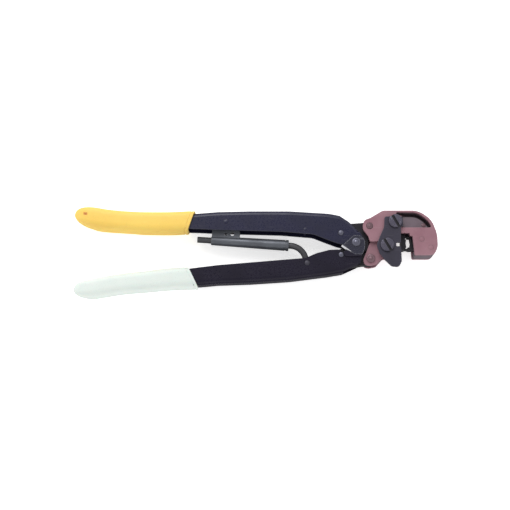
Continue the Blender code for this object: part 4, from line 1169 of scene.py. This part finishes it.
    def spring(self) -> None:
        """Wind the return spring round the rod."""
        turns, length, coil, wire = 6, 9.2, 3.15, 0.4
        blank = Blank()
        made = bmesh.ops.create_circle(blank.bm, cap_ends=True, radius=wire, segments=12)
        stand = Matrix.Translation((coil, 0.0, 0.0)) @ Matrix.Rotation(math.radians(90), 4, "X")
        bmesh.ops.transform(blank.bm, matrix=stand, verts=made["verts"])
        steps = turns * 24
        bmesh.ops.spin(blank.bm, geom=blank.bm.faces[:], cent=(0.0, 0.0, 0.0),
                       axis=(0.0, 0.0, 1.0), dvec=(0.0, 0.0, length / steps),
                       angle=math.tau * turns, steps=steps)
        bmesh.ops.recalc_face_normals(blank.bm, faces=blank.bm.faces)
        place = Matrix.Translation((*self.at(5.9, 0.0), self.level)) @ Matrix.Rotation(
            math.radians(self.tilt), 4, "Z") @ Matrix.Rotation(math.radians(90.0), 4, "Y")
        bmesh.ops.transform(blank.bm, matrix=place, verts=blank.bm.verts)
        blank.finish("return_spring", self.body, ROD_STEEL, "dark_steel", "return_spring",
                     edge=0, smooth=60.0)

    def small_parts(self) -> None:
        """Make the cap, the pawl, and the pins and washers."""
        bore = self.rod + GAP
        self.bar([(bore, 24.6), (3.25, 24.6), (3.4, 24.75), (3.4, 26.05), (3.25, 26.2),
                  (bore, 26.2), (bore, 24.6)]).finish(
            "ratchet_housing_cap", self.body, DARK_STEEL, "dark_steel", "ratchet_housing_cap",
            edge=0)
        low, high = span("ratchet_pawl")
        shape = [(*self.at(u, v), r) for u, v, r in (
            (-26.6, 2.62, 0.1), (-24.6, 2.75, 0.2), (-19.0, 3.9, 0.5), (-17.2, 4.6, 0.5),
            (-17.4, 6.2, 0.5), (-19.2, 6.4, 0.5), (-26.0, 4.2, 0.3))]
        Blank().slab(shape, low, high).cut(drill(centre_of("pawl_pin"), 0.95)).finish(
            "ratchet_pawl", "ratchet_pawl", DARK_STEEL, "dark_steel", "ratchet_pawl", edge=0.1)
        rivet("pawl_pin", self.body, 0.15)
        rivet("ratchet_housing_pin", "upper_handle", 0.2, finish=UPPER_PAINT,
              slot="upper_enamel", swell=FLUSH)
        rivet("ratchet_rod_pin", "lower_handle", 0.35, swell=0.2)
        for side in ("front", "back"):
            washer(f"rod_washer_{side}", "lower_handle", radius_of("ratchet_rod_pin") + GAP)


# ---------------------------------------------------------------- studio


@dataclass
class Studio:
    """Pale floor, soft light and the camera."""

    lens: float = 85.0
    elevation: float = 79.0
    distance: float = 904.0
    aim: tuple[float, float, float] = (-76.1, -9.9, 20.0)
    glow: float = 0.60
    overhead: float = 0.45
    horizon: float = 1.12
    under: float = 0.15

    def build(self) -> None:
        """Set up everything that isn't part of the tool."""
        self.floor()
        self.world()
        self.softbox("key", (-260.0, 620.0, 760.0), 620.0, 4.4)
        self.camera()
        bpy.context.scene.view_settings.view_transform = "Standard"

    def floor(self) -> None:
        """Lay the pale floor just under the tool; a little glow keeps its shadows faint."""
        bm = bmesh.new()
        bmesh.ops.create_grid(bm, x_segments=1, y_segments=1, size=6.0)
        bmesh.ops.translate(bm, verts=bm.verts, vec=(0.0, 0.0, CAD_LOW.z - FLOOR_DROP * MM))
        mesh = bpy.data.meshes.new("floor")
        bm.to_mesh(mesh)
        bm.free()
        floor = bpy.data.objects.new("floor", mesh)
        bpy.context.scene.collection.objects.link(floor)
        pale = bpy.data.materials.new("floor")
        pale.use_nodes = True
        shader = pale.node_tree.nodes["Principled BSDF"]
        shader.inputs["Base Color"].default_value = (0.93, 0.93, 0.93, 1.0)
        shader.inputs["Roughness"].default_value = 0.9
        shader.inputs["Specular IOR Level"].default_value = 0.1
        shader.inputs["Emission Color"].default_value = (1.0, 1.0, 1.0, 1.0)
        shader.inputs["Emission Strength"].default_value = self.glow
        mesh.materials.append(pale)
        floor.visible_glossy = False

    def world(self) -> None:
        """Fill the room with white light, brightest along the walls and dark underfoot."""
        world = bpy.data.worlds.new("studio")
        world.use_nodes = True
        tree = world.node_tree
        back = tree.nodes["Background"]
        back.inputs["Color"].default_value = (1.0, 1.0, 1.0, 1.0)
        sight = tree.nodes.new("ShaderNodeTexCoord")
        parts = tree.nodes.new("ShaderNodeSeparateXYZ")
        tree.links.new(sight.outputs["Generated"], parts.inputs["Vector"])
        product = tree.nodes.new("ShaderNodeMath")
        product.operation = "MULTIPLY"
        ramps = ((0.4, 0.95, self.horizon, self.overhead), (-0.06, 0.02, self.under, 1.0))
        for slot, numbers in enumerate(ramps):
            ramp = tree.nodes.new("ShaderNodeMapRange")
            for name, number in zip(("From Min", "From Max", "To Min", "To Max"), numbers):
                ramp.inputs[name].default_value = number
            tree.links.new(parts.outputs["Z"], ramp.inputs["Value"])
            tree.links.new(ramp.outputs["Result"], product.inputs[slot])
        tree.links.new(product.outputs[0], back.inputs["Strength"])
        bpy.context.scene.world = world

    def softbox(self, name: str, place: tuple[float, float, float], size: float,
                power: float) -> None:
        """Hang a square softbox that faces the tool."""
        light = bpy.data.lights.new(name, "AREA")
        light.size = size * MM
        light.energy = power
        lamp = bpy.data.objects.new(name, light)
        lamp.location = Vector(place) * MM
        lamp.rotation_euler = (Vector(self.aim) - Vector(place)).to_track_quat("-Z", "Y").to_euler()
        bpy.context.scene.collection.objects.link(lamp)

    def camera(self) -> None:
        """Place the camera high over the near side."""
        data = bpy.data.cameras.new("camera")
        data.lens = self.lens
        data.sensor_width = 36.0
        data.clip_start, data.clip_end = 0.01, 20.0
        camera = bpy.data.objects.new("camera", data)
        rise = math.radians(self.elevation)
        back = Vector((0.0, -math.cos(rise), math.sin(rise)))
        camera.location = (Vector(self.aim) + back * self.distance) * MM
        camera.rotation_euler = (-back).to_track_quat("-Z", "Y").to_euler()
        bpy.context.scene.collection.objects.link(camera)
        bpy.context.scene.camera = camera


def grips() -> list[Grip]:
    """Return the yellow upper grip and the white lower one."""
    upper = Grip(
        "upper_handle_grip", "upper_handle", YELLOW, "yellow_vinyl",
        ((-213.4, 22.6, 1.0, 2.0), (-212.0, 22.4, 3.4, 5.0), (-208.9, 22.0, 5.6, 7.6),
         (-204.4, 21.2, 7.1, 9.2), (-199.9, 20.4, 7.8, 9.9), (-195.4, 19.4, 8.2, 10.2),
         (-188.0, 18.3, 8.0, 10.2), (-177.4, 17.4, 7.8, 10.2), (-168.4, 16.8, 7.8, 10.2),
         (-159.4, 16.3, 8.0, 10.2), (-141.4, 16.2, 8.1, 10.2), (-124.3, 16.8, 8.2, 10.2)),
        0.34,
        ((-188.6, 12.9), (-160.0, 11.0), (-140.0, 10.8), (-118.0, 10.2), (-110.0, 9.7),
         (-110.0, 24.3), (-118.0, 23.4), (-140.0, 21.6), (-160.0, 21.6), (-188.6, 23.7)),
        (-204.4, 21.9))
    lower = Grip(
        "lower_handle_grip", "lower_handle", WHITE, "white_vinyl",
        ((-212.9, -35.2, 1.0, 2.0), (-211.6, -35.0, 3.0, 5.0), (-208.9, -34.8, 4.8, 7.6),
         (-204.4, -34.6, 6.3, 9.2), (-199.9, -34.4, 6.9, 9.9), (-195.4, -33.7, 7.4, 10.2),
         (-188.0, -32.5, 7.5, 10.2), (-177.4, -30.7, 7.5, 10.2), (-168.4, -29.7, 7.6, 10.2),
         (-159.4, -28.9, 7.7, 10.2), (-141.4, -26.9, 8.0, 10.2), (-122.6, -26.2, 8.0, 10.2)),
        -0.48,
        ((-188.6, -37.9), (-160.0, -34.2), (-140.0, -32.2), (-118.0, -32.7), (-110.0, -32.1),
         (-110.0, -17.7), (-118.0, -18.6), (-140.0, -21.4), (-160.0, -23.6), (-188.6, -27.1)))
    return [upper, lower]


def main() -> None:
    """Build the tool from head to grips, then the studio."""
    logging.basicConfig(level=logging.INFO, format="%(name)s: %(message)s")
    for assembly in (Head(), Jaw(), Handles(), *grips(), Ratchet(), Studio()):
        assembly.build()


if __name__ == "__main__":
    main()
